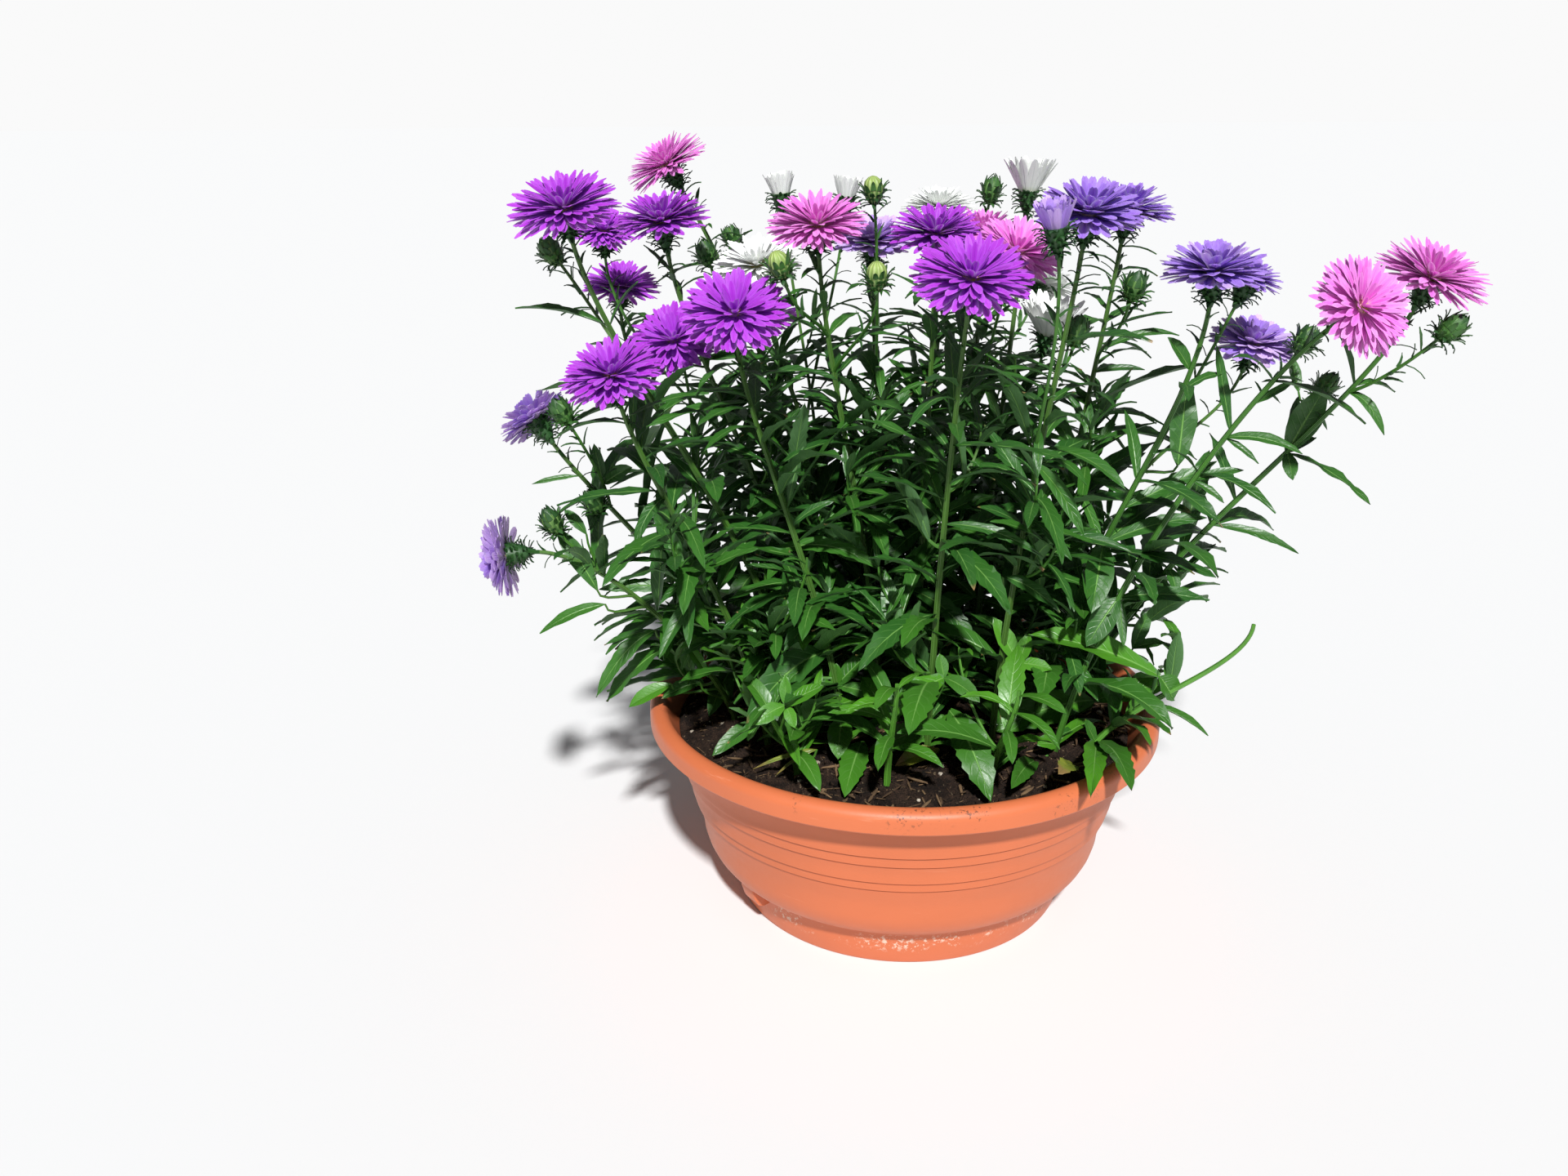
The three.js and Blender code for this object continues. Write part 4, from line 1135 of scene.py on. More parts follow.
@functools.cache
def strip(section, rows):
    """A small ring is shaped to the section and extruded from row to row."""
    clear_selection()
    bpy.ops.mesh.primitive_circle_add(vertices=len(section), radius=1, fill_type="NGON")
    thing = bpy.context.object
    for vertex, (x, z) in zip(thing.data.vertices, section):
        vertex.co = (x, rows[0], z)
    edit_all()
    for last, row in zip(rows, rows[1:]):
        bpy.ops.mesh.extrude_region_move(TRANSFORM_OT_translate={"value": (0, row - last, 0)})
    face_outwards()
    bpy.ops.object.mode_set(mode="OBJECT")
    mesh = thing.data
    places = np.array([vertex.co for vertex in mesh.vertices])
    corners, sizes, uvs = [], [], []
    for face in mesh.polygons:
        corners += list(face.vertices)
        sizes.append(len(face.vertices))
        under = places[list(face.vertices), 2].mean() < 0
        for corner in face.vertices:
            uvs.append(((places[corner, 0] + 1) / 2 + (1 if under else 0), places[corner, 1]))
    bpy.data.objects.remove(thing)
    return Strip(places, np.array(corners), np.array(sizes), np.array(uvs))


LEAF_SECTION = ((-1, 0), (-0.5, 0.9), (0, 0.3), (0.5, 0.9), (1, 0), (0, -1))
LEAF_ROWS = (0, 0.08, 0.18, 0.3, 0.42, 0.54, 0.66, 0.78, 0.89, 1)
SMALL_ROWS = (0, 0.14, 0.32, 0.52, 0.72, 0.88, 1)
TOOTHED_ROWS = (0, 0.09, 0.2, 0.32, 0.42, 0.46, 0.53, 0.57, 0.64, 0.68, 0.75, 0.79, 0.86, 0.93, 1)
TOOTH_TIPS = (0.46, 0.57, 0.68, 0.79)
PETAL_SECTION = ((-1, 0), (0, 0.4), (1, 0), (0, -1))
PETAL_ROWS = (0, 0.25, 0.5, 0.7, 0.88, 1)
BRACT_SECTION = ((-1, 0), (0, 1), (1, 0), (0, -1))
BRACT_ROWS = (0, 0.35, 0.7, 1)
BRACT_THICK = 0.28
SHARP_ANGLE = math.radians(50)


class Tissue:
    """Points and faces of one piece in millimetres, with UVs, and a material, a shade and an age for each."""

    def __init__(self):
        self.parts = []
        self.count = 0

    def add(self, points, corners, sizes, uvs, kind, shade, age):
        marks = np.full(len(sizes), kind), np.full(len(points), shade), np.full(len(points), age)
        self.parts.append((points, corners + self.count, sizes, uvs, *marks))
        self.count += len(points)

    def piece(self, name, materials):
        points, corners, sizes, uvs, kinds, shades, ages = (np.concatenate(rows) for rows in zip(*self.parts))
        mesh = bpy.data.meshes.new(name)
        mesh.vertices.add(len(points))
        mesh.vertices.foreach_set("co", (points * MM).ravel())
        mesh.loops.add(len(corners))
        mesh.loops.foreach_set("vertex_index", corners)
        mesh.polygons.add(len(sizes))
        mesh.polygons.foreach_set("loop_start", np.concatenate([[0], np.cumsum(sizes)[:-1]]))
        mesh.polygons.foreach_set("material_index", kinds)
        mesh.update(calc_edges=True)
        mesh.uv_layers.new(name="Along").data.foreach_set("uv", uvs.ravel())
        for label, values in (("shade", shades), ("age", ages)):
            mesh.attributes.new(label, "FLOAT", "POINT").data.foreach_set("value", values)
        mesh.polygons.foreach_set("use_smooth", np.ones(len(sizes), bool))
        mesh.set_sharp_from_angle(angle=SHARP_ANGLE)
        for material in materials:
            mesh.materials.append(material)
        thing = bpy.data.objects.new(name, mesh)
        bpy.context.scene.collection.objects.link(thing)
        return thing


def columns(values, t):
    """Rows of numbers, sampled at shares of their length."""
    marks = np.linspace(0, 1, len(values))
    return np.stack([np.interp(t, marks, values[:, k]) for k in range(values.shape[1])], axis=1)


class Lay(NamedTuple):
    """How a strip lies: its folds and twist, its material, and its shade and age for the colour."""

    fold: float = 0.0
    wave: float = 0.0
    phase: float = 0.0
    twist: float = 0.0
    kind: int = 0
    shade: float = 0.5
    age: float = 0.5


def lay_strip(tissue, form, spine, half, thick, lay):
    """Lays a strip along a spine of (points, laterals, aboves), with its half width at every point."""
    points, laterals, aboves = spine
    x, y, z = form.places.T
    at, lateral, above = columns(points, y), columns(laterals, y), columns(aboves, y)
    turn = (lay.twist * y)[:, None]
    cosine, sine = np.cos(turn), np.sin(turn)
    lateral, above = lateral * cosine + above * sine, above * cosine - lateral * sine
    across = x * half
    lift = z * thick + lay.fold * np.abs(across) + lay.wave * np.sin(y * 17 + lay.phase + x * 1.6) * np.abs(x)
    places = at + lateral * across[:, None] + above * lift[:, None]
    tissue.add(places, form.corners, form.sizes, form.uvs, lay.kind, lay.shade, lay.age)


PLANTED_HEIGHTS = (150, 230)
PLANTED_SHARES = (1.0, 0.8)
TOOTHED_LENGTH = 44
SMALL_LENGTH = 27
LEAF_THICK = 0.34
STEM_KIND, LEAF_KIND, CUP_KIND, TIP_KIND = range(4)


def blade_width(t):
    """The share of a grown blade's full width: long and even, with a drawn-out tip and a clasping foot."""
    return np.sin(np.pi * np.clip(t, 0, 1) ** 1.05) ** 0.75 + 0.12 * (1 - t) ** 3


def grow_leaf(tissue, leaf, draw, age):
    """A long leaf is toothed, and a small one has fewer rows of faces."""
    toothed = leaf.length > TOOTHED_LENGTH
    rows = TOOTHED_ROWS if toothed else SMALL_ROWS if leaf.length < SMALL_LENGTH else LEAF_ROWS
    form = strip(LEAF_SECTION, rows)
    t = form.places[:, 1]
    half = blade_width(t) * leaf.width / 2 * np.interp(leaf.spine[0][0][2], PLANTED_HEIGHTS, PLANTED_SHARES)
    if toothed:
        half *= tooth_edge(t, 0.05 + 0.1 * draw())
    thick = LEAF_THICK * np.minimum(1, 0.4 + t * 4)
    lay = Lay(
        fold=0.14 + 0.3 * draw(),
        wave=(0.3 + 1.1 * draw()) * leaf.width / 16,
        phase=draw() * 6,
        twist=(draw() - 0.5) * 0.9,
        kind=LEAF_KIND,
        shade=draw(),
        age=age,
    )
    lay_strip(tissue, form, leaf.spine, half, thick, lay)


def tooth_edge(t, depth):
    """Teeth that point to the tip: the edge swells slowly and falls in again at once."""
    swell = np.ones(len(t))
    for tip in TOOTH_TIPS:
        swell[np.abs(t - tip) < 0.001] = 1 + depth
        swell[np.abs(t - tip - 0.07) < 0.001] = 1 - depth * 0.5
    return swell


# Stems, cups and buds are tubes.
def ring_tube(tissue, frames, radii, sides, lay, rib=0.0):
    """A closed tube with a ring at each frame. A rib above 0 gives it five low ribs."""
    count = len(frames)
    angles = np.arange(sides) / sides * 2 * np.pi
    at, _, side, third = (np.array(rows)[:, None] for rows in zip(*frames))
    radius = np.array(radii)[:, None, None] * (1 + rib * np.cos(5 * angles))[None, :, None]
    spread = side * np.cos(angles)[None, :, None] + third * np.sin(angles)[None, :, None]
    points = (at + spread * radius).reshape(-1, 3)
    rings = np.arange(count - 1)[:, None] * sides
    lower = (rings + np.arange(sides)[None]).ravel()
    nexts = (rings + (np.arange(sides) + 1)[None] % sides).ravel()
    quads = np.stack([lower, nexts, nexts + sides, lower + sides], axis=1)
    along = np.concatenate([[0], np.cumsum(np.linalg.norm(np.diff(at[:, 0], axis=0), axis=1))])
    around = np.tile(np.arange(sides) / sides, count - 1)
    low, high = np.repeat(along[:-1], sides) / 100, np.repeat(along[1:], sides) / 100
    uvs = np.stack([around, low, around + 1 / sides, low, around + 1 / sides, high, around, high], axis=1)
    foot, top = np.arange(sides)[::-1], np.arange(sides) + (count - 1) * sides
    corners = np.concatenate([quads.ravel(), foot, top])
    sizes = np.concatenate([np.full(len(quads), 4), [sides, sides]])
    uvs = np.concatenate([uvs.reshape(-1, 2), np.zeros((sides, 2)), np.ones((sides, 2))])
    tissue.add(points, corners, sizes, uvs, lay.kind, lay.shade, lay.age)


def head_frame(seat, way, side):
    """A head's frame at its seat, with its side square to its way."""
    across = unit(away(side, way, -dot(side, way)))
    return Frame(seat, way, across, cross(way, across))


def profile_tube(tissue, frame, profile, sides, lay):
    """A turned form: radii at heights along the frame's way."""
    frames = [frame._replace(at=away(frame.at, frame.ahead, height)) for _, height in profile]
    ring_tube(tissue, frames, [radius for radius, _ in profile], sides, lay)


def curl_spine(start, out, way, length, rise, curl, steps=6):
    """A spine that leaves at an angle above the horizontal, and bends evenly by the curl."""
    t = (np.arange(steps) + 0.5) / steps
    angle = rise + curl * t
    step = np.outer(np.cos(angle), out) + np.outer(np.sin(angle), way)
    points = np.concatenate([[start], np.asarray(start) + np.cumsum(step * (length / steps), axis=0)])
    ends = rise + curl * np.linspace(0, 1, steps + 1)
    ahead = np.outer(np.cos(ends), out) + np.outer(np.sin(ends), way)
    above = np.outer(-np.sin(ends), out) + np.outer(np.cos(ends), way)
    return points, np.cross(ahead, above), above


def direction(frame, angle):
    return np.array(frame.side) * math.cos(angle) + np.array(frame.third) * math.sin(angle)


def bract_width(t):
    return (0.9 - 0.45 * t) * np.where(t > 0.98, 0.1, 1)


def bract_ring(tissue, frame, one, grow, reach, width, age, draw):
    """A round of narrow bracts that stand off a cup and curl back."""
    count, height, radius, rise, curl = one
    form = strip(BRACT_SECTION, BRACT_ROWS)
    half = bract_width(form.places[:, 1]) * width
    ahead = np.array(frame.ahead)
    turn = draw() * 6
    for i in range(count):
        angle = turn + (i + 0.4 * draw()) / count * 2 * math.pi
        out = direction(frame, angle)
        start = np.array(frame.at) + out * (radius * grow) + ahead * (height + draw() - 0.5)
        length_of, slope = reach * (0.8 + 0.4 * draw()), rise + 0.3 * (draw() - 0.5)
        spine = curl_spine(start, out, ahead, length_of, slope, curl * (0.6 + 0.8 * draw()), 4)
        lay_strip(tissue, form, spine, half, BRACT_THICK, Lay(kind=CUP_KIND, shade=draw(), age=age))


# A profile gives radii at heights over the seat. A round of bracts gives its count, its height, its radius,
# its rise and its curl.
CUP_PROFILE = ((1.3, -14), (1.9, -11.5), (3.6, -9), (4.9, -6), (5.7, -2.5), (6.1, 0), (4.2, 0.25))
CUP_ROUNDS = (
    (8, -11, 1.7, 0.2, -0.9),
    (10, -8.5, 3.6, 0.5, -1.4),
    (11, -6, 4.7, 0.75, -1.6),
    (12, -3.5, 5.3, 0.95, -1.6),
    (12, -1.2, 5.6, 1.0, -1.4),
)


def grow_cup(tissue, head, side, draw):
    """The green cup under a bloom, with five rounds of bracts curling back."""
    frame = head_frame(head.seat, head.way, side)
    grow = 0.84 if head.open else 1.0
    profile = [(radius * (grow if height > -12 else 1), height) for radius, height in CUP_PROFILE]
    profile_tube(tissue, frame, profile, 14, Lay(kind=CUP_KIND, shade=0.4, age=0.6))
    for one in CUP_ROUNDS:
        bract_ring(tissue, frame, one, grow, 5.0, 1.25, 0.6, draw)


BUD_PROFILE = ((1.0, -8), (2.6, -7), (4.2, -4.8), (5.0, -1.8), (4.9, 1.4), (4.0, 4.0), (2.2, 5.7), (0.4, 6.3))
BUD_ROUNDS = (
    (7, -7.2, 2.4, 0.3, -1.1),
    (9, -5.4, 4, 0.8, -1.6),
    (10, -3.2, 4.8, 1.1, -1.3),
    (10, -0.8, 5.0, 1.35, -0.7),
    (9, 1.6, 4.8, 1.7, 0.1),
    (7, 3.6, 3.8, 2.1, 0.4),
)
LIME_ROUNDS = 4


def grow_bud(tissue, at, way, side, draw):
    """A closed bud in its bracts. A ripe one shows its lime tip over fewer of them."""
    frame = head_frame(at, way, side)
    lime = at in LIME_BUDS
    shade = 1.0 if lime else 0.35 * draw()
    profile_tube(tissue, frame, BUD_PROFILE, 12, Lay(kind=TIP_KIND, shade=shade, age=0.5))
    for one in BUD_ROUNDS[:LIME_ROUNDS] if lime else BUD_ROUNDS:
        age = 0.3 + 0.4 * draw()
        bract_ring(tissue, frame, one, 1, 5.2, 1.6, age, draw)


NECK_BRACTS = 9


def grow_neck(tissue, path, draw):
    """Small narrow leaves up the last stretch under a bloom."""
    frames = frames_of(path)
    form = strip(BRACT_SECTION, BRACT_ROWS)
    half = bract_width(form.places[:, 1]) * 1.15
    turn = draw() * 6
    for i in range(NECK_BRACTS):
        turn += GOLDEN_TURN
        frame = frames[max(1, len(frames) - 1 - i)]
        out = direction(frame, turn)
        start = np.array(frame.at) + out * 0.9
        reach, rise, curl = 6.5 + 5 * draw(), 0.7 + 0.4 * draw(), -0.9 * draw() - 0.3
        spine = curl_spine(start, out, np.array(frame.ahead), reach, rise, curl, 4)
        lay_strip(tissue, form, spine, half, 0.25, Lay(kind=CUP_KIND, shade=draw(), age=0.5))


# Stems: the foot and the top radius of a branch and of a twig, and the heights over which leaves darken
BRANCH_RADII = (0.92, 0.75)
TWIG_RADII = (0.9, 0.55)
PALE_BELOW = 118
DARKEN_OVER = 110


def age_at(leaf, draw):
    """Leaves near the soil at the front are light, and those higher up are grown and dark."""
    chance = draw() - 0.5
    if leaf.age is not None:
        return leaf.age
    x, y, z = leaf.spine[0][0]
    height = (z - PALE_BELOW) / DARKEN_OVER
    front = max(-y - 20, 0) / 160
    return float(np.clip(0.42 + 0.5 * height - 0.2 * front * (1 - height) + 0.3 * chance, 0, 1))


def grow_stem(tissue, path, foot, top, draw, age, sides=10):
    """A ribbed stem that gets thinner evenly from its foot to its top."""
    frames = frames_of(path)
    last = len(frames) - 1
    radii = [foot + (top - foot) * i / last for i in range(last + 1)]
    ring_tube(tissue, frames, radii, sides, Lay(kind=STEM_KIND, shade=draw(), age=age), rib=0.07)


def build_plant(plant):
    foliage = bpy.context.scene.aster_foliage
    foot, top = mm(foliage.stem_foot), mm(foliage.stem_top)
    tissue = Tissue()
    draw = make_draw(EXTRA_SEED * 3 + plant.owner * LEAF_SEED_STEP)
    below = sub(plant.trunk[0], (0, 0, HOLE_DEPTH))
    stem_age = 0.0 if plant.shoot else 0.5
    grow_stem(tissue, [below, *plant.trunk], foot, top, draw, stem_age)
    for path in plant.branches:
        grow_stem(tissue, path, *BRANCH_RADII, draw, stem_age, 8)
    for path, leaves in plant.twigs:
        grow_stem(tissue, path, *TWIG_RADII, draw, stem_age * 0.6, 6)
        for leaf in leaves:
            young = min(age_at(leaf, draw), 0.7) * (0.4 if plant.shoot else 0.9)
            grow_leaf(tissue, leaf, draw, young if leaf.age is None else leaf.age)
    for leaf in [*plant.leaves, *plant.extras]:
        age = age_at(leaf, draw) * (0.3 if plant.shoot and leaf.age is None else 1)
        grow_leaf(tissue, leaf, draw, age)
    paths = [plant.trunk, *plant.branches]
    for path, head in zip(paths, plant.heads):
        grow_cup(tissue, head, frames_of(path)[-1].side, draw)
        grow_neck(tissue, path, draw)
    for path, (at, way) in zip(paths[len(plant.heads):], plant.buds):
        grow_bud(tissue, at, way, frames_of(path)[-1].side, draw)
        grow_neck(tissue, path, draw)
    return tissue


# Blooms
class Round(NamedTuple):
    """One round of petals: its count, its length and width as shares, its rise, its curl and its radius."""

    count: int
    length: float
    width: float
    rise: float
    curl: float
    base: float


WIDE_ROUNDS = (
    Round(26, 1.0, 1.0, 0.0, -0.12, 4.4),
    Round(26, 1.0, 1.0, 0.16, -0.16, 4.1),
    Round(23, 0.96, 0.96, 0.33, -0.16, 3.6),
    Round(19, 0.86, 0.92, 0.54, -0.14, 2.9),
    Round(14, 0.70, 0.84, 0.82, -0.08, 2.1),
    Round(8, 0.50, 0.76, 1.10, 0.05, 1.3),
)
DOUBLE_ROUNDS = (
    Round(32, 1.0, 1.0, 0.0, -0.12, 4.4),
    Round(32, 1.0, 1.0, 0.15, -0.16, 4.1),
    Round(29, 0.96, 0.96, 0.31, -0.17, 3.6),
    Round(24, 0.88, 0.92, 0.50, -0.16, 2.9),
    Round(18, 0.72, 0.84, 0.78, -0.10, 2.1),
    Round(11, 0.50, 0.76, 1.08, 0.05, 1.3),
)


class Kind(NamedTuple):
    """What sets one colour of bloom apart: its petals' width, spread, rounds, notch and blunt tip."""

    width: float
    spread: float
    rounds: tuple
    notch: float
    tip: float


KINDS = {
    "purple": Kind(3.8, 0.09, DOUBLE_ROUNDS, 0.02, 0.26),
    "pink": Kind(3.4, 0.09, DOUBLE_ROUNDS, 0.01, 0.22),
    "lavender": Kind(5.0, 0.11, WIDE_ROUNDS, 0.03, 0.40),
    "white": Kind(3.5, 0.09, DOUBLE_ROUNDS, 0.01, 0.26),
}
PETAL_THICK = 0.22
PLAIN_RADIUS = 25
EYE_PROFILE = ((4.6, 0.3), (4.8, 1.5), (4.0, 3.2), (2.6, 4.4), (0.8, 4.9))
OPENING_EYE_PROFILE = ((1.6, -2.5), (2.6, -1.0), (2.2, 0.6), (0.6, 1.4))
EYE_LAY = Lay(kind=1, shade=0.5, age=0.3)


def petal_width(t, tip):
    """A strap that widens to two thirds of its length and ends in a blunt point."""
    body = 0.42 + 0.58 * np.sin(np.minimum(t / 0.66, 1) * np.pi / 2) ** 1.2
    return body * np.interp(t, (0, 0.7, 0.88, 1), (1, 1, 0.72 + 0.5 * (tip - 0.14), tip))


def grow_petal(tissue, spine, width, draw, age, kind, pale):
    """A petal along a spine, notched at its tip."""
    form = strip(PETAL_SECTION, PETAL_ROWS)
    x, y, _ = form.places.T
    half = petal_width(y, kind.tip) * width / 2
    shorter = np.where((y > 0.97) & (np.abs(x) < 0.5), -kind.notch, 0.0)
    notched = form._replace(places=form.places + np.stack([0 * y, shorter, 0 * y], axis=1))
    lay = Lay(fold=0.04 + 0.16 * draw(), twist=(draw() - 0.5) * 0.5, shade=draw() + pale, age=age)
    lay_strip(tissue, notched, spine, half, PETAL_THICK, lay)


def petal_places(frame, rounds, spread, draw):
    """The level, the round and the way out of each petal. Every round starts at a turn of its own."""
    for level, one in enumerate(rounds):
        turn = draw() * 6
        for i in range(one.count):
            angle = turn + (i + spread * (draw() - 0.5)) / one.count * 2 * math.pi
            yield level, one, direction(frame, angle)


def build_bloom(head, seed):
    """An open double bloom, round on round."""
    kind = KINDS[head.colour]
    tissue = Tissue()
    draw = make_draw(seed)
    frame = head_frame(head.seat, head.way, (math.cos(draw() * 6), 0.6, 0.3))
    radius = bloom_radius(head.colour) * head.grade
    grade = radius / PLAIN_RADIUS
    way = np.array(frame.ahead)
    profile_tube(tissue, frame, [(r * grade, h * grade) for r, h in EYE_PROFILE], 14, EYE_LAY)
    for level, one, out in petal_places(frame, kind.rounds, 0.55, draw):
        start = np.array(frame.at) + out * one.base * grade + way * (0.9 + 0.62 * level) * grade
        reach = (radius - one.base * grade) * one.length * (1.03 - 0.15 * draw())
        rise = one.rise + kind.spread * 2 * (draw() - 0.5)
        spine = curl_spine(start, out, way, reach, rise, one.curl + 0.3 * (draw() - 0.5))
        width = kind.width * grade * one.width * (0.85 + 0.3 * draw()) * (1 + 0.3 * head.pale)
        grow_petal(tissue, spine, width, draw, 1 - level / len(kind.rounds), kind, head.pale)
    return tissue


OPENING_ROUNDS = (
    Round(16, 1.0, 1.0, 1.32, -0.10, 3.9),
    Round(15, 0.97, 0.95, 1.36, 0.02, 3.2),
    Round(12, 0.93, 0.9, 1.42, 0.1, 2.2),
    Round(7, 0.88, 0.8, 1.5, 0.1, 1.0),
)


def build_opening(head, seed):
    """Upright petals in a cup."""
    tissue = Tissue()
    draw = make_draw(seed)
    frame = head_frame(head.seat, head.way, (math.cos(draw() * 6), 0.6, 0.3))
    way = np.array(frame.ahead)
    grade = head.grade
    profile_tube(tissue, frame, OPENING_EYE_PROFILE, 12, EYE_LAY)
    lean = 0.06 + 0.5 * max(grade - 0.9, 0)
    for _, one, out in petal_places(frame, OPENING_ROUNDS, 0.5, draw):
        start = np.array(frame.at) + out * one.base - way * 2
        reach = (2.6 + 13 * grade) * one.length * (0.88 + 0.24 * draw())
        spine = curl_spine(start, out, way, reach, one.rise - lean + 0.1 * (draw() - 0.5), one.curl)
        grow_petal(tissue, spine, 4.0 * math.sqrt(grade), draw, 0.9, KINDS[head.colour], head.pale)
    return tissue


# Shader graphs
class Graph:
    """Adds nodes to a material's or a group's node tree."""

    def __init__(self, tree):
        self.tree = tree

    def node(self, kind, **settings):
        node = self.tree.nodes.new(kind)
        for name, value in settings.items():
            setattr(node, name, value)
        return node

    def join(self, source, target):
        if hasattr(source, "is_output"):
            self.tree.links.new(source, target)
        else:
            target.default_value = source

    def math(self, operation, *values):
        node = self.node("ShaderNodeMath", operation=operation)
        for value, socket in zip(values, node.inputs):
            self.join(value, socket)
        return node.outputs[0]

    def times(self, a, b):
        return self.math("MULTIPLY", a, b)

    def plus(self, a, b):
        return self.math("ADD", a, b)

    def minus(self, a, b):
        return self.math("SUBTRACT", a, b)

    def ramp(self, value, low, high, out_low=0.0, out_high=1.0):
        """Maps a value smoothly from one range to another."""
        node = self.node("ShaderNodeMapRange", interpolation_type="SMOOTHSTEP")
        for socket, number in zip(node.inputs, (value, low, high, out_low, out_high)):
            self.join(number, socket)
        return node.outputs[0]

    def mix(self, share, a, b):
        node = self.node("ShaderNodeMix", data_type="RGBA")
        self.join(share, node.inputs[0])
        for source, socket in ((a, node.inputs[6]), (b, node.inputs[7])):
            self.join(source if hasattr(source, "is_output") else (*source, 1), socket)
        return node.outputs[2]

    def noise(self, scale_by, detail=3.0, roughness=0.55, vector=None):
        node = self.node("ShaderNodeTexNoise")
        self.join(vector or self.place_on_object(), node.inputs["Vector"])
        self.join(scale_by, node.inputs["Scale"])
        self.join(detail, node.inputs["Detail"])
        self.join(roughness, node.inputs["Roughness"])
        return node.outputs["Fac"]

    def place_on_object(self):
        return self.node("ShaderNodeTexCoord").outputs["Object"]

    def attribute(self, name):
        return self.node("ShaderNodeAttribute", attribute_name=name).outputs["Fac"]

    def split(self, vector):
        node = self.node("ShaderNodeSeparateXYZ")
        self.join(vector, node.inputs[0])
        return node.outputs

    def across_and_along(self):
        """A strip's UV: its first half is the upper face, and the second the underside."""
        return self.split(self.node("ShaderNodeUVMap", uv_map="Along").outputs[0])

    def group(self, tree, **inputs):
        node = self.node("ShaderNodeGroup", node_tree=tree)
        for name, value in inputs.items():
            self.join(value, node.inputs[name.replace("_", " ").title()])
        return node.outputs


class Finish(Graph):
    """A new material: its shader, and the tone of the coats laid so far."""

    def __init__(self, name, roughness, specular=0.5, tone=None):
        self.tone = tone
        self.material = bpy.data.materials.new(name)
        self.material.use_nodes = True
        super().__init__(self.material.node_tree)
        self.shader = self.tree.nodes["Principled BSDF"]
        self.give("Roughness", roughness)
        self.give("Specular IOR Level", specular)

    def give(self, name, value):
        self.join(value, self.shader.inputs[name])

    def coat(self, tone, mask, share=None):
        """Lays a colour over those below it, where its mask shows."""
        self.tone = self.mix(mask if share is None else self.times(mask, share), self.tone, tone)
        self.give("Base Color", self.tone)

    def grained(self, grain, depth, base):
        """A roughness that varies with the grain."""
        return self.plus(self.times(grain, depth), base)

    def bump(self, height, strength, distance):
        node = self.node("ShaderNodeBump")
        self.join(strength, node.inputs["Strength"])
        self.join(distance, node.inputs["Distance"])
        self.join(height, node.inputs["Height"])
        self.give("Normal", node.outputs[0])


def shader_group(name, inputs, outputs):
    """An empty node group with its named inputs, given with their defaults, and its outputs."""
    tree = bpy.data.node_groups.new(name, "ShaderNodeTree")
    for label, value in inputs.items():
        socket = tree.interface.new_socket(label, in_out="INPUT", socket_type="NodeSocketFloat")
        socket.default_value = value
    for label in outputs:
        tree.interface.new_socket(label, in_out="OUTPUT", socket_type="NodeSocketFloat")
    graph = Graph(tree)
    return tree, graph, graph.node("NodeGroupInput").outputs, graph.node("NodeGroupOutput").inputs


@functools.cache
def blade_group():
    """Where a point lies on a blade: its midrib, side veins, edge, length and underside."""
    inputs = {"Vein Count": 9.0, "Rib Width": 0.12, "Slant": 1.5}
    tree, graph, given, out = shader_group("Blade", inputs, ("Rib", "Veins", "Edge", "Along", "Under"))
    across, along, _ = graph.across_and_along()
    under = graph.math("GREATER_THAN", across, 1.0)
    off = graph.times(graph.math("ABSOLUTE", graph.minus(graph.minus(across, under), 0.5)), 2.0)
    width = graph.times(given["Rib Width"], graph.minus(1.15, along))
    slanted = graph.minus(graph.times(along, given["Vein Count"]), graph.times(off, given["Slant"]))
    wave = graph.math("ABSOLUTE", graph.minus(graph.math("FRACT", slanted), 0.5))
    graph.join(graph.minus(1.0, graph.ramp(off, 0.0, width)), out["Rib"])
    graph.join(graph.times(graph.ramp(wave, 0.13, 0.0), graph.ramp(off, 0.97, 0.55)), out["Veins"])
    # The edge mask, which petals use for a painted highlight
    graph.join(graph.ramp(off, 0.55, 1.0), out["Edge"])
    graph.join(along, out["Along"])
    graph.join(under, out["Under"])
    return tree


@functools.cache
def mottle_group():
    """A soft blotch with fine grain in it."""
    inputs = {"Scale": 60.0, "Low": 0.3, "High": 0.7}
    tree, graph, given, out = shader_group("Mottle", inputs, ("Value", "Grain"))
    blotch = graph.noise(given["Scale"], 4.0)
    graph.join(graph.ramp(blotch, given["Low"], given["High"]), out["Value"])
    graph.join(graph.noise(graph.times(given["Scale"], 14.0), 2.0), out["Grain"])
    return tree


def shifted(tone, factor):
    return tuple(min(channel * factor, 1) for channel in tone)


# Colours of leaves, stems and bracts besides their own
LEAF_SHADE = (0.010, 0.060, 0.012)
LEAF_BLOTCH = (0.045, 0.150, 0.020)
LEAF_BACK = (0.080, 0.180, 0.066)
LEAF_VEIN = (0.100, 0.260, 0.050)
LEAF_RIB = (0.190, 0.400, 0.090)
WORN_LEAF = (0.330, 0.360, 0.040)
DRY_LEAF = (0.330, 0.180, 0.075)
YOUNG_STEM = (0.090, 0.280, 0.026)
STEM_BLOTCH = (0.035, 0.110, 0.022)
STEM_FLUSH = (0.110, 0.070, 0.030)
STEM_RIB = (0.085, 0.240, 0.030)
YOUNG_BRACT = (0.055, 0.170, 0.030)
GROWN_BRACT = (0.012, 0.060, 0.014)
BRACT_SHADE = (0.030, 0.105, 0.020)
BRACT_TIP = (0.008, 0.030, 0.010)
BRACT_BLOTCH = (0.060, 0.150, 0.040)


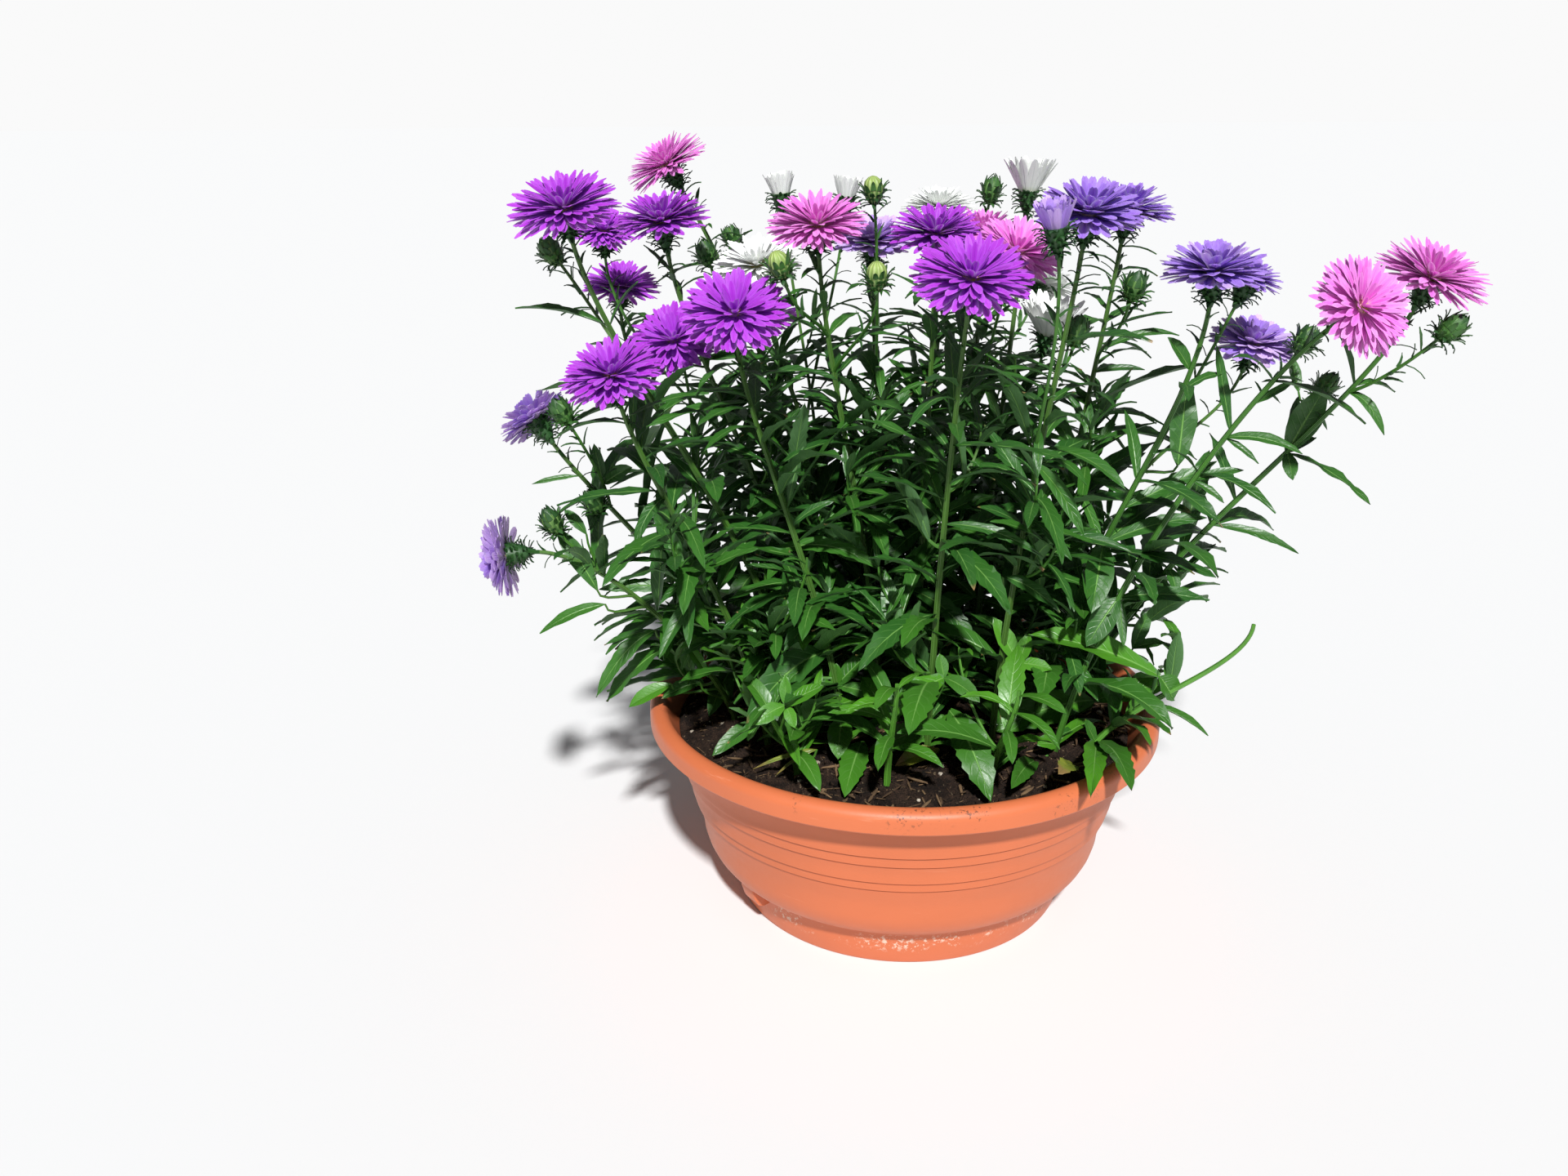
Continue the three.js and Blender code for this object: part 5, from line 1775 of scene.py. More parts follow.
@functools.cache
def leaf_material():
    """A leaf: dark and slightly glossy above with a pale midrib, greyer and matt below."""
    foliage = bpy.context.scene.aster_foliage
    leaf = Finish("Aster Leaf", 0.4, tone=tuple(foliage.young))
    blade = leaf.group(blade_group(), vein_count=9.0, rib_width=0.15, slant=1.6)
    mottle = leaf.group(mottle_group(), scale=55.0, low=0.3, high=0.72)
    shade, age = leaf.attribute("shade"), leaf.attribute("age")
    leaf.coat(tuple(foliage.leaf), leaf.ramp(age, 0.12, 0.75))
    leaf.coat(LEAF_SHADE, leaf.ramp(shade, 0.0, 1.0, 0.0, 0.65))
    leaf.coat(LEAF_BLOTCH, mottle["Value"], 0.35)
    leaf.coat(leaf.mix(0.62, leaf.tone, LEAF_BACK), blade["Under"])
    leaf.coat(LEAF_VEIN, blade["Veins"], 0.3)
    leaf.coat(LEAF_RIB, blade["Rib"], 0.8)
    worn = leaf.ramp(age, 1.2, 1.8)
    leaf.coat(WORN_LEAF, worn, leaf.ramp(mottle["Value"], 0.0, 1.0, 0.95, 0.45))
    tip = leaf.times(leaf.ramp(blade["Along"], 0.93, 1.0), leaf.ramp(shade, 0.85, 1.0))
    tip = leaf.math("MAXIMUM", tip, leaf.times(worn, leaf.ramp(blade["Along"], 0.68, 0.86)))
    leaf.coat(DRY_LEAF, tip, 0.8)
    rough = leaf.grained(mottle["Grain"], 0.18, 0.31)
    leaf.give("Roughness", leaf.plus(rough, leaf.times(blade["Under"], 0.22)))
    relief = leaf.plus(leaf.times(blade["Veins"], -0.5), leaf.times(blade["Rib"], -1.0))
    leaf.bump(leaf.plus(relief, leaf.times(mottle["Grain"], 0.35)), 0.55, 0.0004)
    return leaf.material


@functools.cache
def stem_material():
    """A stem: ribbed and green, with a reddish flush on some."""
    stem = Finish("Aster Stem", 0.5, tone=YOUNG_STEM)
    mottle = stem.group(mottle_group(), scale=90.0, low=0.35, high=0.7)
    stem.coat(tuple(bpy.context.scene.aster_foliage.stem), stem.ramp(stem.attribute("age"), 0.0, 0.5))
    stem.coat(STEM_BLOTCH, mottle["Value"], 0.45)
    stem.coat(STEM_FLUSH, stem.ramp(stem.attribute("shade"), 0.7, 1.0), 0.2)
    ribs = stem.math("COSINE", stem.times(stem.across_and_along()[0], math.pi * 20))
    stem.coat(STEM_RIB, stem.ramp(ribs, 0.2, 1.0, 0.0, 0.24))
    stem.give("Roughness", stem.grained(mottle["Grain"], 0.2, 0.38))
    stem.bump(stem.plus(ribs, mottle["Grain"]), 0.4, 0.0003)
    return stem.material


@functools.cache
def cup_material():
    """Bracts: dark green, lighter on young buds, with dark tips."""
    bract = Finish("Aster Bract", 0.48, tone=YOUNG_BRACT)
    blade = bract.group(blade_group(), vein_count=2.0, rib_width=0.4, slant=0.5)
    mottle = bract.group(mottle_group(), scale=160.0, low=0.3, high=0.7)
    bract.coat(GROWN_BRACT, bract.ramp(bract.attribute("age"), 0.3, 0.6))
    bract.coat(BRACT_SHADE, bract.attribute("shade"), 0.4)
    bract.coat(BRACT_TIP, bract.ramp(blade["Along"], 0.45, 1.0, 0.0, 0.7))
    bract.coat(BRACT_BLOTCH, mottle["Value"], 0.3)
    bract.give("Roughness", bract.grained(mottle["Grain"], 0.2, 0.38))
    bract.bump(mottle["Grain"], 0.3, 0.0002)
    return bract.material


@functools.cache
def tip_material():
    """The folded petals at the tip of a closed bud: green, or a pale lime on a ripe one."""
    bud = Finish("Aster Bud Tip", 0.5, tone=(0.030, 0.110, 0.020))
    mottle = bud.group(mottle_group(), scale=260.0, low=0.35, high=0.65)
    around, height, _ = bud.across_and_along()
    folds = bud.math("SINE", bud.times(around, math.pi * 24))
    ripe = bud.ramp(bud.attribute("shade"), 0.0, 1.0)
    bud.coat(bud.mix(ripe, (0.050, 0.150, 0.030), (0.330, 0.460, 0.110)), bud.ramp(height, 0.03, 0.13))
    pale = bud.mix(ripe, (0.110, 0.260, 0.055), (0.520, 0.600, 0.260))
    bud.coat(pale, bud.ramp(folds, -0.6, 0.8, 0.0, 0.5))
    bud.coat((0.100, 0.220, 0.040), mottle["Value"], 0.3)
    bud.bump(folds, 0.5, 0.0004)
    return bud.material


class Dye(NamedTuple):
    """The colours of a petal besides its own: at its foot, along its edge for a painted highlight, and in its
    streaks, which are also laid on the inner rounds as painted shade.
    """

    foot: tuple
    edge: tuple
    streak: tuple
    deep: tuple


DYES = {
    "purple": Dye((0.58, 0.14, 0.72), (0.60, 0.12, 0.92), (0.26, 0.012, 0.46), (0.21, 0.010, 0.38)),
    "pink": Dye((0.95, 0.55, 0.62), (0.96, 0.44, 0.92), (0.64, 0.070, 0.50), (0.55, 0.050, 0.42)),
    "lavender": Dye((0.60, 0.44, 0.76), (0.50, 0.32, 0.90), (0.200, 0.080, 0.52), (0.170, 0.065, 0.48)),
    "white": Dye((0.55, 0.62, 0.24), (0.95, 0.95, 0.94), (0.76, 0.80, 0.80), (0.82, 0.86, 0.82)),
}
PALE_PETAL = (0.76, 0.52, 0.92)
POLLEN = (0.50, 0.36, 0.06)


@functools.cache
def petal_material(kind):
    """A petal: its own colour with a painted highlight along its edge, painted shade on its inner rounds,
    fine streaks along it and a lighter foot.
    """
    dye = DYES[kind]
    own = tuple(getattr(bpy.context.scene.aster_bloom, kind))
    petal = Finish(f"Aster Petal {kind.title()}", 0.55, 0.25, own)
    blade = petal.group(blade_group(), vein_count=0.2, rib_width=0.34, slant=3.0)
    mottle = petal.group(mottle_group(), scale=240.0, low=0.3, high=0.7)
    shade, age = petal.attribute("shade"), petal.attribute("age")
    petal.coat(dye.edge, petal.ramp(shade, 0.0, 1.0, 0.0, 0.55))
    # The inner rounds are darkened with the streak colour: painted shade towards the middle of the bloom
    petal.coat(dye.streak, petal.ramp(age, 0.75, 0.15, 0.0, 0.25))
    # A lighter colour along each petal's edges: a painted highlight
    petal.coat(dye.edge, blade["Edge"], 0.45)
    petal.coat(dye.streak, blade["Rib"], 0.42)
    petal.coat(dye.streak, blade["Veins"], 0.25)
    petal.coat(dye.deep, mottle["Value"], 0.2)
    petal.coat(PALE_PETAL, petal.ramp(shade, 0.95, 1.4, 0.0, 0.85))
    petal.coat(dye.foot, petal.ramp(blade["Along"], 0.28, 0.0, 0.0, 0.75))
    petal.coat(dye.deep, blade["Under"], 0.3)
    petal.give("Roughness", petal.grained(mottle["Grain"], 0.2, 0.42))
    petal.give("Sheen Weight", 0.05)
    petal.give("Subsurface Weight", 0.0 if kind == "white" else 0.3)
    petal.give("Subsurface Radius", (1.0, 0.7, 1.0))
    petal.give("Subsurface Scale", 0.003)
    petal.bump(petal.plus(petal.times(blade["Rib"], -1.0), petal.times(mottle["Grain"], 0.3)), 0.4, 0.0003)
    return petal.material


@functools.cache
def eye_material(kind):
    """The small eye in the middle of a bloom."""
    eye = Finish(f"Aster Eye {kind.title()}", 0.6, tone=DYES[kind].foot)
    mottle = eye.group(mottle_group(), scale=700.0, low=0.4, high=0.6)
    eye.coat(POLLEN, mottle["Value"])
    eye.bump(mottle["Value"], 0.6, 0.0006)
    return eye.material


# Bowl
LUG_DEPTH = 0.9
BEAD_HEIGHTS = (59.5, 64.6, 75.8, 81.7)
BEAD = ((-0.9, 0), (-0.6, -0.3), (-0.05, -0.3), (0, 0.8), (0.5, 0.8), (3.2, 0))
BOWL_SEGMENTS = 160
BOWL_SHARP_ANGLE = math.radians(38)
BELLY_HEIGHTS = (25, 26.5, 28.5, 31, 35, 40, 46, 52)
INSIDE_HEIGHTS = (98, 90, 75, 60, 46, 38, 30)
BAND_START = 92
FOOT_FLARE = 3.5
RIM_THICK = 2.6
RIM_HOLLOW = 5
DRAIN_RADIUS = 5
DRAIN_CIRCLE = 50
DRAIN_COUNT = 4
BELLY_LUG = (
    (94.4, 19), (96.6, 23.6), (103.6, 28.4), (105.4, 28.6), (104.8, 24.8),
    (103.3, 19.8), (101.2, 16.2), (98.2, 14.6), (93.6, 15.4),
)
RIM_LUG = ((124.8, 96), (128, 107), (134, 107), (134, 99), (131.5, 95.5))
LUGS = ((BELLY_LUG, 3.84, 12), (RIM_LUG, -0.32, 14))


def bowl_mm(*names):
    """Some of the bowl's sizes in millimetres."""
    return [mm(getattr(bpy.context.scene.aster_bowl, name)) for name in names]


def wall_radius(height):
    """The radius of the bowl's outside at a height above its crease."""
    belly, belly_height, crease, crease_height = bowl_mm(
        "belly_radius", "belly_height", "crease_radius", "crease_height"
    )
    neck, neck_height = bowl_mm("neck_radius", "neck_height")
    if height >= belly_height:
        rise = (height - belly_height) / (neck_height - belly_height)
        return belly + (neck - belly) * rise
    fall = (belly_height - height) / (belly_height - crease_height)
    return crease + (belly - crease) * math.sqrt(1 - fall * fall)


def bowl_outside():
    """The foot, the crease, the belly and the beaded wall, from the table up."""
    foot, foot_height, crease, crease_height = bowl_mm(
        "foot_radius", "foot_height", "crease_radius", "crease_height"
    )
    flare = foot + FOOT_FLARE
    points = [(foot - 2.5, 0), (foot - 0.8, 0.5), (foot, 1.8), (foot + FOOT_FLARE * 0.6, foot_height * 0.6)]
    points += [(flare, foot_height - 1), (flare + 0.4, foot_height), (crease, crease_height)]
    points += [(wall_radius(height), height) for height in BELLY_HEIGHTS]
    for bead in BEAD_HEIGHTS:
        points += [(wall_radius(bead + step) + rise, bead + step) for step, rise in BEAD]
    return points


def bowl_rim():
    """The hollow band of the rim, its rolled top and the step down into the bowl."""
    neck, rim, top, foot = bowl_mm("neck_radius", "rim_radius", "height", "neck_height")
    points = [(wall_radius(BAND_START), BAND_START), (neck, foot), (neck + 1.5, top - RIM_HOLLOW)]
    points += [(rim - RIM_THICK - 1, top - RIM_HOLLOW), (rim - RIM_THICK, foot), (rim - 0.7, foot)]
    points += [(rim, foot + 0.8), (rim, top - RIM_HOLLOW)]
    for i in range(1, 7):
        angle = math.radians(i * 15)
        points.append((rim - 6 + 6 * math.cos(angle), top - 5 + 5 * math.sin(angle)))
    return points + [(rim - 8, top - 0.8), (rim - 9.4, top - 2.6)]


def bowl_inside():
    wall, foot, foot_height = bowl_mm("wall", "foot_radius", "foot_height")
    points = [(wall_radius(height) - wall, height) for height in INSIDE_HEIGHTS]
    return points + [(foot - 1, foot_height + wall), (foot - wall * 2, wall)]


def extrude_along(extrude, outline):
    """Extrudes what is selected from point to point of an outline of (radius, height), and widens it."""
    for (last_radius, last_height), (radius, height) in zip(outline, outline[1:]):
        extrude(TRANSFORM_OT_translate={"value": (0, 0, (height - last_height) * MM)})
        share = radius / last_radius
        bpy.ops.transform.resize(value=(share, share, 1), center_override=(0, 0, height * MM))


def turned(name, outline):
    """A ring filled with a face, and extruded along an outline of (radius, height)."""
    clear_selection()
    radius, height = outline[0]
    bpy.ops.mesh.primitive_circle_add(
        vertices=BOWL_SEGMENTS, radius=radius * MM, fill_type="NGON", location=(0, 0, height * MM)
    )
    thing = bpy.context.object
    thing.name = name
    bpy.ops.object.transform_apply(location=True, rotation=True, scale=True)
    edit_all()
    extrude_along(bpy.ops.mesh.extrude_region_move, outline)
    face_outwards()
    bpy.ops.object.mode_set(mode="OBJECT")
    return thing


def moulded_lug(outline, angle, width):
    """An outline of (radius, height), extruded to its width and rounded at its edges."""
    clear_selection()
    bpy.ops.mesh.primitive_circle_add(vertices=len(outline), radius=0.01, fill_type="NGON")
    thing = bpy.context.object
    for vertex, (radius, height) in zip(thing.data.vertices, outline):
        vertex.co = (radius * MM, -width / 2 * MM, height * MM)
    edit_all()
    bpy.ops.mesh.extrude_region_move(TRANSFORM_OT_translate={"value": (0, width * MM, 0)})
    face_outwards()
    bpy.ops.mesh.bevel(offset=LUG_DEPTH * MM, segments=2, affect="EDGES")
    bpy.ops.object.mode_set(mode="OBJECT")
    thing.rotation_euler = (0, 0, angle)
    bpy.ops.object.transform_apply(location=True, rotation=True, scale=True)
    return thing


def combine(thing, tool, operation):
    """Joins or cuts a piece with another one, which is then gone."""
    modifier = thing.modifiers.new("Combine", "BOOLEAN")
    modifier.operation = operation
    modifier.object = tool
    modifier.solver = "EXACT"
    bpy.context.view_layer.objects.active = thing
    bpy.ops.object.modifier_apply(modifier=modifier.name)
    bpy.data.objects.remove(tool)


def drill(angle):
    """A round cutter at the place of one drain hole."""
    clear_selection()
    place = (DRAIN_CIRCLE * MM * math.cos(angle), DRAIN_CIRCLE * MM * math.sin(angle), 0)
    bpy.ops.mesh.primitive_cylinder_add(vertices=24, radius=DRAIN_RADIUS * MM, depth=0.02, location=place)
    bpy.ops.object.transform_apply(location=True, rotation=True, scale=True)
    return bpy.context.object


@functools.cache
def wear_group():
    """Wear on plastic by its height: chalky marks near the table, splashes of soil by the rim, and scuffs."""
    outputs = ("Chalk", "Splash", "Scuff", "Grain")
    tree, graph, given, out = shader_group("Wear", {"Table": 0.004, "Rim": 0.112}, outputs)
    place = graph.place_on_object()
    height = graph.split(place)[2]
    from_foot = graph.math("ABSOLUTE", graph.minus(height, graph.plus(given["Table"], 0.012)))
    patches = graph.ramp(graph.noise(38.0, 5.0, 0.72), 0.47, 0.58)
    flecks = graph.ramp(graph.noise(420.0, 4.0, 0.7), 0.53, 0.60)
    graph.join(graph.times(graph.times(patches, flecks), graph.ramp(from_foot, 0.008, 0.001)), out["Chalk"])
    near_rim = graph.ramp(height, graph.minus(given["Rim"], 0.014), given["Rim"])
    spots = graph.ramp(graph.noise(24.0, 3.0, 0.6), 0.54, 0.64)
    dots = graph.ramp(graph.noise(520.0, 4.0, 0.65), 0.56, 0.63)
    graph.join(graph.times(graph.times(spots, dots), near_rim), out["Splash"])
    stretched = graph.node("ShaderNodeMapping")
    stretched.inputs["Scale"].default_value = (1.0, 1.0, 14.0)
    graph.join(place, stretched.inputs[0])
    graph.join(graph.ramp(graph.noise(28.0, 6.0, 0.7, stretched.outputs[0]), 0.62, 0.74), out["Scuff"])
    graph.join(graph.noise(900.0, 2.0), out["Grain"])
    return tree


SCUFFED_PLASTIC = (0.80, 0.36, 0.22)
CHALK = (0.78, 0.62, 0.50)
SPLASH = (0.090, 0.040, 0.022)


@functools.cache
def plastic_material():
    """Terracotta-coloured plastic, matt and a little uneven, chalky at the foot and soiled at the rim."""
    plain = tuple(bpy.context.scene.aster_bowl.plastic)
    plastic = Finish("Terracotta Plastic", 0.5, tone=plain)
    wear = plastic.group(wear_group(), table=0.002, rim=0.114)
    mottle = plastic.group(mottle_group(), scale=16.0, low=0.3, high=0.75)
    plastic.coat(shifted(plain, 0.82), mottle["Value"], 0.35)
    plastic.coat(SCUFFED_PLASTIC, wear["Scuff"], 0.3)
    plastic.coat(CHALK, wear["Chalk"], 0.85)
    plastic.coat(SPLASH, wear["Splash"], 0.8)
    rough = plastic.grained(mottle["Grain"], 0.14, 0.40)
    rough = plastic.plus(rough, plastic.times(wear["Chalk"], 0.35))
    plastic.give("Roughness", plastic.plus(rough, plastic.times(wear["Scuff"], 0.12)))
    plastic.bump(plastic.plus(plastic.times(wear["Grain"], 0.35), wear["Chalk"]), 0.25, 0.0003)
    return plastic.material


# Soil
SOIL_SEED = 7919
SOIL_CELLS = 170
SOIL_EDGE = 0.4
SOIL_HEIGHTS = (75, 46, 30)
HUMUS_KIND, CHIP_KIND, GRIT_KIND = range(3)
HUMUS_BELOW, CHIPS_BELOW = 0.45, 0.94
FIBRE = (0.085, 0.047, 0.028)
FLECK = (0.34, 0.25, 0.15)


@functools.cache
def soil_material():
    """Moist dark potting soil with fibres and grains in it."""
    earth = tuple(bpy.context.scene.aster_soil.earth)
    soil = Finish("Potting Soil", 0.95, 0.25, shifted(earth, 0.3))
    mottle = soil.group(mottle_group(), scale=130.0, low=0.32, high=0.68)
    fine = soil.group(mottle_group(), scale=620.0, low=0.45, high=0.66)
    soil.coat(shifted(earth, 1.7), mottle["Value"])
    soil.coat(FIBRE, fine["Value"], 0.4)
    flecks = soil.ramp(soil.noise(520.0, 1.0, 0.4), 0.70, 0.74)
    soil.coat(FLECK, flecks, 0.7)
    soil.bump(soil.plus(fine["Value"], mottle["Grain"]), 1.0, 0.0020)
    return soil.material


@functools.cache
def chip_material():
    """Bark chips and fibres in the soil."""
    bark = Finish("Bark Chips", 0.9, 0.2, (0.035, 0.020, 0.012))
    mottle = bark.group(mottle_group(), scale=300.0, low=0.3, high=0.7)
    bark.coat((0.30, 0.19, 0.10), bark.attribute("shade"))
    bark.coat((0.060, 0.035, 0.020), mottle["Value"], 0.5)
    bark.bump(mottle["Grain"], 0.7, 0.0005)
    return bark.material


@functools.cache
def grit_material():
    """White grains of perlite and pale grit."""
    grit = Finish("Soil Grit", 0.85, 0.3, (0.62, 0.56, 0.46))
    mottle = grit.group(mottle_group(), scale=500.0, low=0.3, high=0.7)
    grit.coat((0.30, 0.24, 0.17), mottle["Value"])
    grit.bump(mottle["Grain"], 0.6, 0.0004)
    return grit.material


def crumbled(x, y):
    """The height of the soil with its crumbs, in millimetres."""
    crumb = mm(bpy.context.scene.aster_soil.crumb)
    rough = 0.6 * noise.noise((x * 0.16, y * 0.16, 0.3)) + 0.5 * noise.noise((x * 0.42, y * 0.42, 4.1))
    rough += 0.6 * abs(noise.noise((x * 0.95, y * 0.95, 9.7)))
    return soil_top(x, y) + crumb * rough


def soil_body():
    """A square grid drawn out to a disc, crumbled on top, and extruded down inside the bowl."""
    wall, foot, foot_height = bowl_mm("wall", "foot_radius", "foot_height")
    level = mm(bpy.context.scene.aster_soil.level)
    radius = wall_radius(level) - wall - SOIL_EDGE
    clear_selection()
    bpy.ops.mesh.primitive_grid_add(x_subdivisions=SOIL_CELLS, y_subdivisions=SOIL_CELLS, size=2)
    thing = bpy.context.object
    thing.name = "Potting_Soil"
    for vertex in thing.data.vertices:
        u, v = vertex.co.x, vertex.co.y
        x, y = u * math.sqrt(1 - v * v / 2) * radius, v * math.sqrt(1 - u * u / 2) * radius
        inner = min(1, (radius - math.hypot(x, y)) / 3)
        vertex.co = (x * MM, y * MM, (level + (crumbled(x, y) - level) * max(inner, 0)) * MM)
    edit_all()
    bpy.ops.mesh.region_to_loop()
    outline = [(radius, level)]
    outline += [(wall_radius(height) - wall - SOIL_EDGE, height) for height in SOIL_HEIGHTS]
    outline += [(foot - 2, foot_height + wall + SOIL_EDGE), (foot - wall * 2 - 1, wall + SOIL_EDGE)]
    extrude_along(bpy.ops.mesh.extrude_edges_move, outline)
    bpy.ops.mesh.edge_face_add()
    face_outwards()
    bpy.ops.object.mode_set(mode="OBJECT")
    return thing


@functools.cache
def clod():
    """A small lump, modelled once: a ball of few faces with its points pushed about."""
    clear_selection()
    bpy.ops.mesh.primitive_ico_sphere_add(subdivisions=1, radius=1)
    thing = bpy.context.object
    edit_all()
    bpy.ops.transform.vertex_random(offset=0.25, seed=3)
    bpy.ops.object.mode_set(mode="OBJECT")
    places = np.array([vertex.co for vertex in thing.data.vertices])
    corners = np.array([corner for face in thing.data.polygons for corner in face.vertices])
    sizes = np.full(len(thing.data.polygons), 3)
    bpy.data.objects.remove(thing)
    return Strip(places, corners, sizes, np.zeros((len(corners), 2)))


def scatter_clods():
    """Loose clods, bark chips and pale grains on the soil, each with a part of it sunk in."""
    form = clod()
    draw = make_draw(SOIL_SEED)
    tissue = Tissue()
    reach = wall_radius(mm(bpy.context.scene.aster_soil.level)) - 8
    for _ in range(bpy.context.scene.aster_soil.clods):
        angle, out = draw() * 2 * math.pi, math.sqrt(draw()) * reach
        x, y = out * math.cos(angle), out * math.sin(angle)
        pick, grow, turn = draw(), 0.6 + 2.4 * draw() ** 3, draw() * math.pi
        if pick < HUMUS_BELOW:
            kind, stretch = HUMUS_KIND, (1.1, 0.9, 0.8)
        elif pick < CHIPS_BELOW:
            kind, stretch = CHIP_KIND, (2.2 + 3.5 * draw(), 0.4, 0.3)
        else:
            kind, stretch = GRIT_KIND, (0.8, 0.7, 0.6)
        local = form.places * np.array(stretch) * grow
        along = np.array([math.cos(turn), math.sin(turn), 0.25 * (draw() - 0.5)])
        across = np.array([-math.sin(turn), math.cos(turn), 0])
        places = np.outer(local[:, 0], along) + np.outer(local[:, 1], across)
        places = places + np.outer(local[:, 2], (0, 0, 1)) + np.array([x, y, crumbled(x, y) + 0.25 * grow])
        tissue.add(places, form.corners, form.sizes, form.uvs, kind, draw(), 0.5)
    return tissue


def finish_piece(thing, slot, *nodes):
    """Hands a finished piece to the frame."""
    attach(thing, BODY)
    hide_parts(*nodes)


def give_materials(thing, *materials):
    thing.data.materials.clear()
    for material in materials:
        thing.data.materials.append(material)


# Operators
class ASTER_OT_bowl(bpy.types.Operator):
    """Add the plastic bowl with its foot, beads, rim and lugs"""

    bl_idname = "aster.bowl"
    bl_label = "Bowl"

    def execute(self, context):
        thing = turned("Bowl", [*bowl_outside(), *bowl_rim(), *bowl_inside()])
        for lug in LUGS:
            combine(thing, moulded_lug(*lug), "UNION")
        for i in range(DRAIN_COUNT):
            combine(thing, drill((i + 0.5) / DRAIN_COUNT * 2 * math.pi), "DIFFERENCE")
        thing.data.shade_smooth()
        thing.data.set_sharp_from_angle(angle=BOWL_SHARP_ANGLE)
        give_materials(thing, plastic_material())
        finish_piece(thing, "pot_plastic", "pot")
        return {"FINISHED"}


class ASTER_OT_soil(bpy.types.Operator):
    """Add the potting soil with its crumbs, chips and grains"""

    bl_idname = "aster.soil"
    bl_label = "Potting Soil"

    def execute(self, context):
        body = soil_body()
        body.data.shade_smooth()
        give_materials(body, soil_material())
        finish_piece(body, "soil", "soil")
        loose = scatter_clods().piece("Soil_Crumbs", [soil_material(), chip_material(), grit_material()])
        finish_piece(loose, "soil")
        return {"FINISHED"}


def add_plants(plants, piece_name, node, slot):
    """Adds one piece for each plant, numbered from 1."""
    materials = [stem_material(), leaf_material(), cup_material(), tip_material()]
    for number, plant in enumerate(plants, 1):
        thing = build_plant(plant).piece(piece_name.format(number), materials)
        finish_piece(thing, slot, node.format(number))


class ASTER_OT_stems(bpy.types.Operator):
    """Add the leafy stems with their cups and buds"""

    bl_idname = "aster.stems"
    bl_label = "Leafy Stems"

    def execute(self, context):
        add_plants(planting()[: len(STEMS)], "Leafy_Stem_{:02d}", "leafy_stem_{:02d}", "foliage")
        return {"FINISHED"}


class ASTER_OT_shoots(bpy.types.Operator):
    """Add the young shoots near the soil"""

    bl_idname = "aster.shoots"
    bl_label = "Young Shoots"

    def execute(self, context):
        add_plants(planting()[len(STEMS) :], "Young_Shoot_{}", "shoot_{}", "young_foliage")
        return {"FINISHED"}


class ASTER_OT_blooms(bpy.types.Operator):
    """Add the blooms, open and opening"""

    bl_idname = "aster.blooms"
    bl_label = "Blooms"

    def execute(self, context):
        counts = {}
        for plant in planting():
            for i, head in enumerate(plant.heads):
                family = f"{'opening' if head.open else 'bloom'}_{head.colour}"
                counts[family] = counts.get(family, 0) + 1
                seed = BLOOM_SEED + plant.owner * BLOOM_SEED_STEP + i * HEAD_SEED_STEP
                tissue = build_opening(head, seed) if head.open else build_bloom(head, seed)
                materials = [petal_material(head.colour), eye_material(head.colour)]
                thing = tissue.piece(f"{family.title()}_{counts[family]}", materials)
                finish_piece(thing, f"petal_{head.colour}", f"{family}_{counts[family]}")
        return {"FINISHED"}


# Studio
SUN_WAY = (0.10, -0.69, 0.72)
FLOOR_WIDTH = 60
SKY = (0.92, 0.96, 1.0)
BACKDROP = 0.955


def studio_world(sky):
    """Soft light from all sides. To the camera the backdrop is a plain pale one."""
    world = bpy.data.worlds.new("Studio")
    world.use_nodes = True
    graph = Graph(world.node_tree)
    lit = world.node_tree.nodes["Background"]
    lit.inputs[0].default_value = (*SKY, 1)
    lit.inputs[1].default_value = sky
    seen = graph.node("ShaderNodeBackground")
    seen.inputs[0].default_value = (BACKDROP, BACKDROP, BACKDROP, 1)
    both = graph.node("ShaderNodeMixShader")
    graph.join(graph.node("ShaderNodeLightPath").outputs["Is Camera Ray"], both.inputs[0])
    graph.join(lit.outputs[0], both.inputs[1])
    graph.join(seen.outputs[0], both.inputs[2])
    graph.join(both.outputs[0], world.node_tree.nodes["World Output"].inputs["Surface"])
    return world


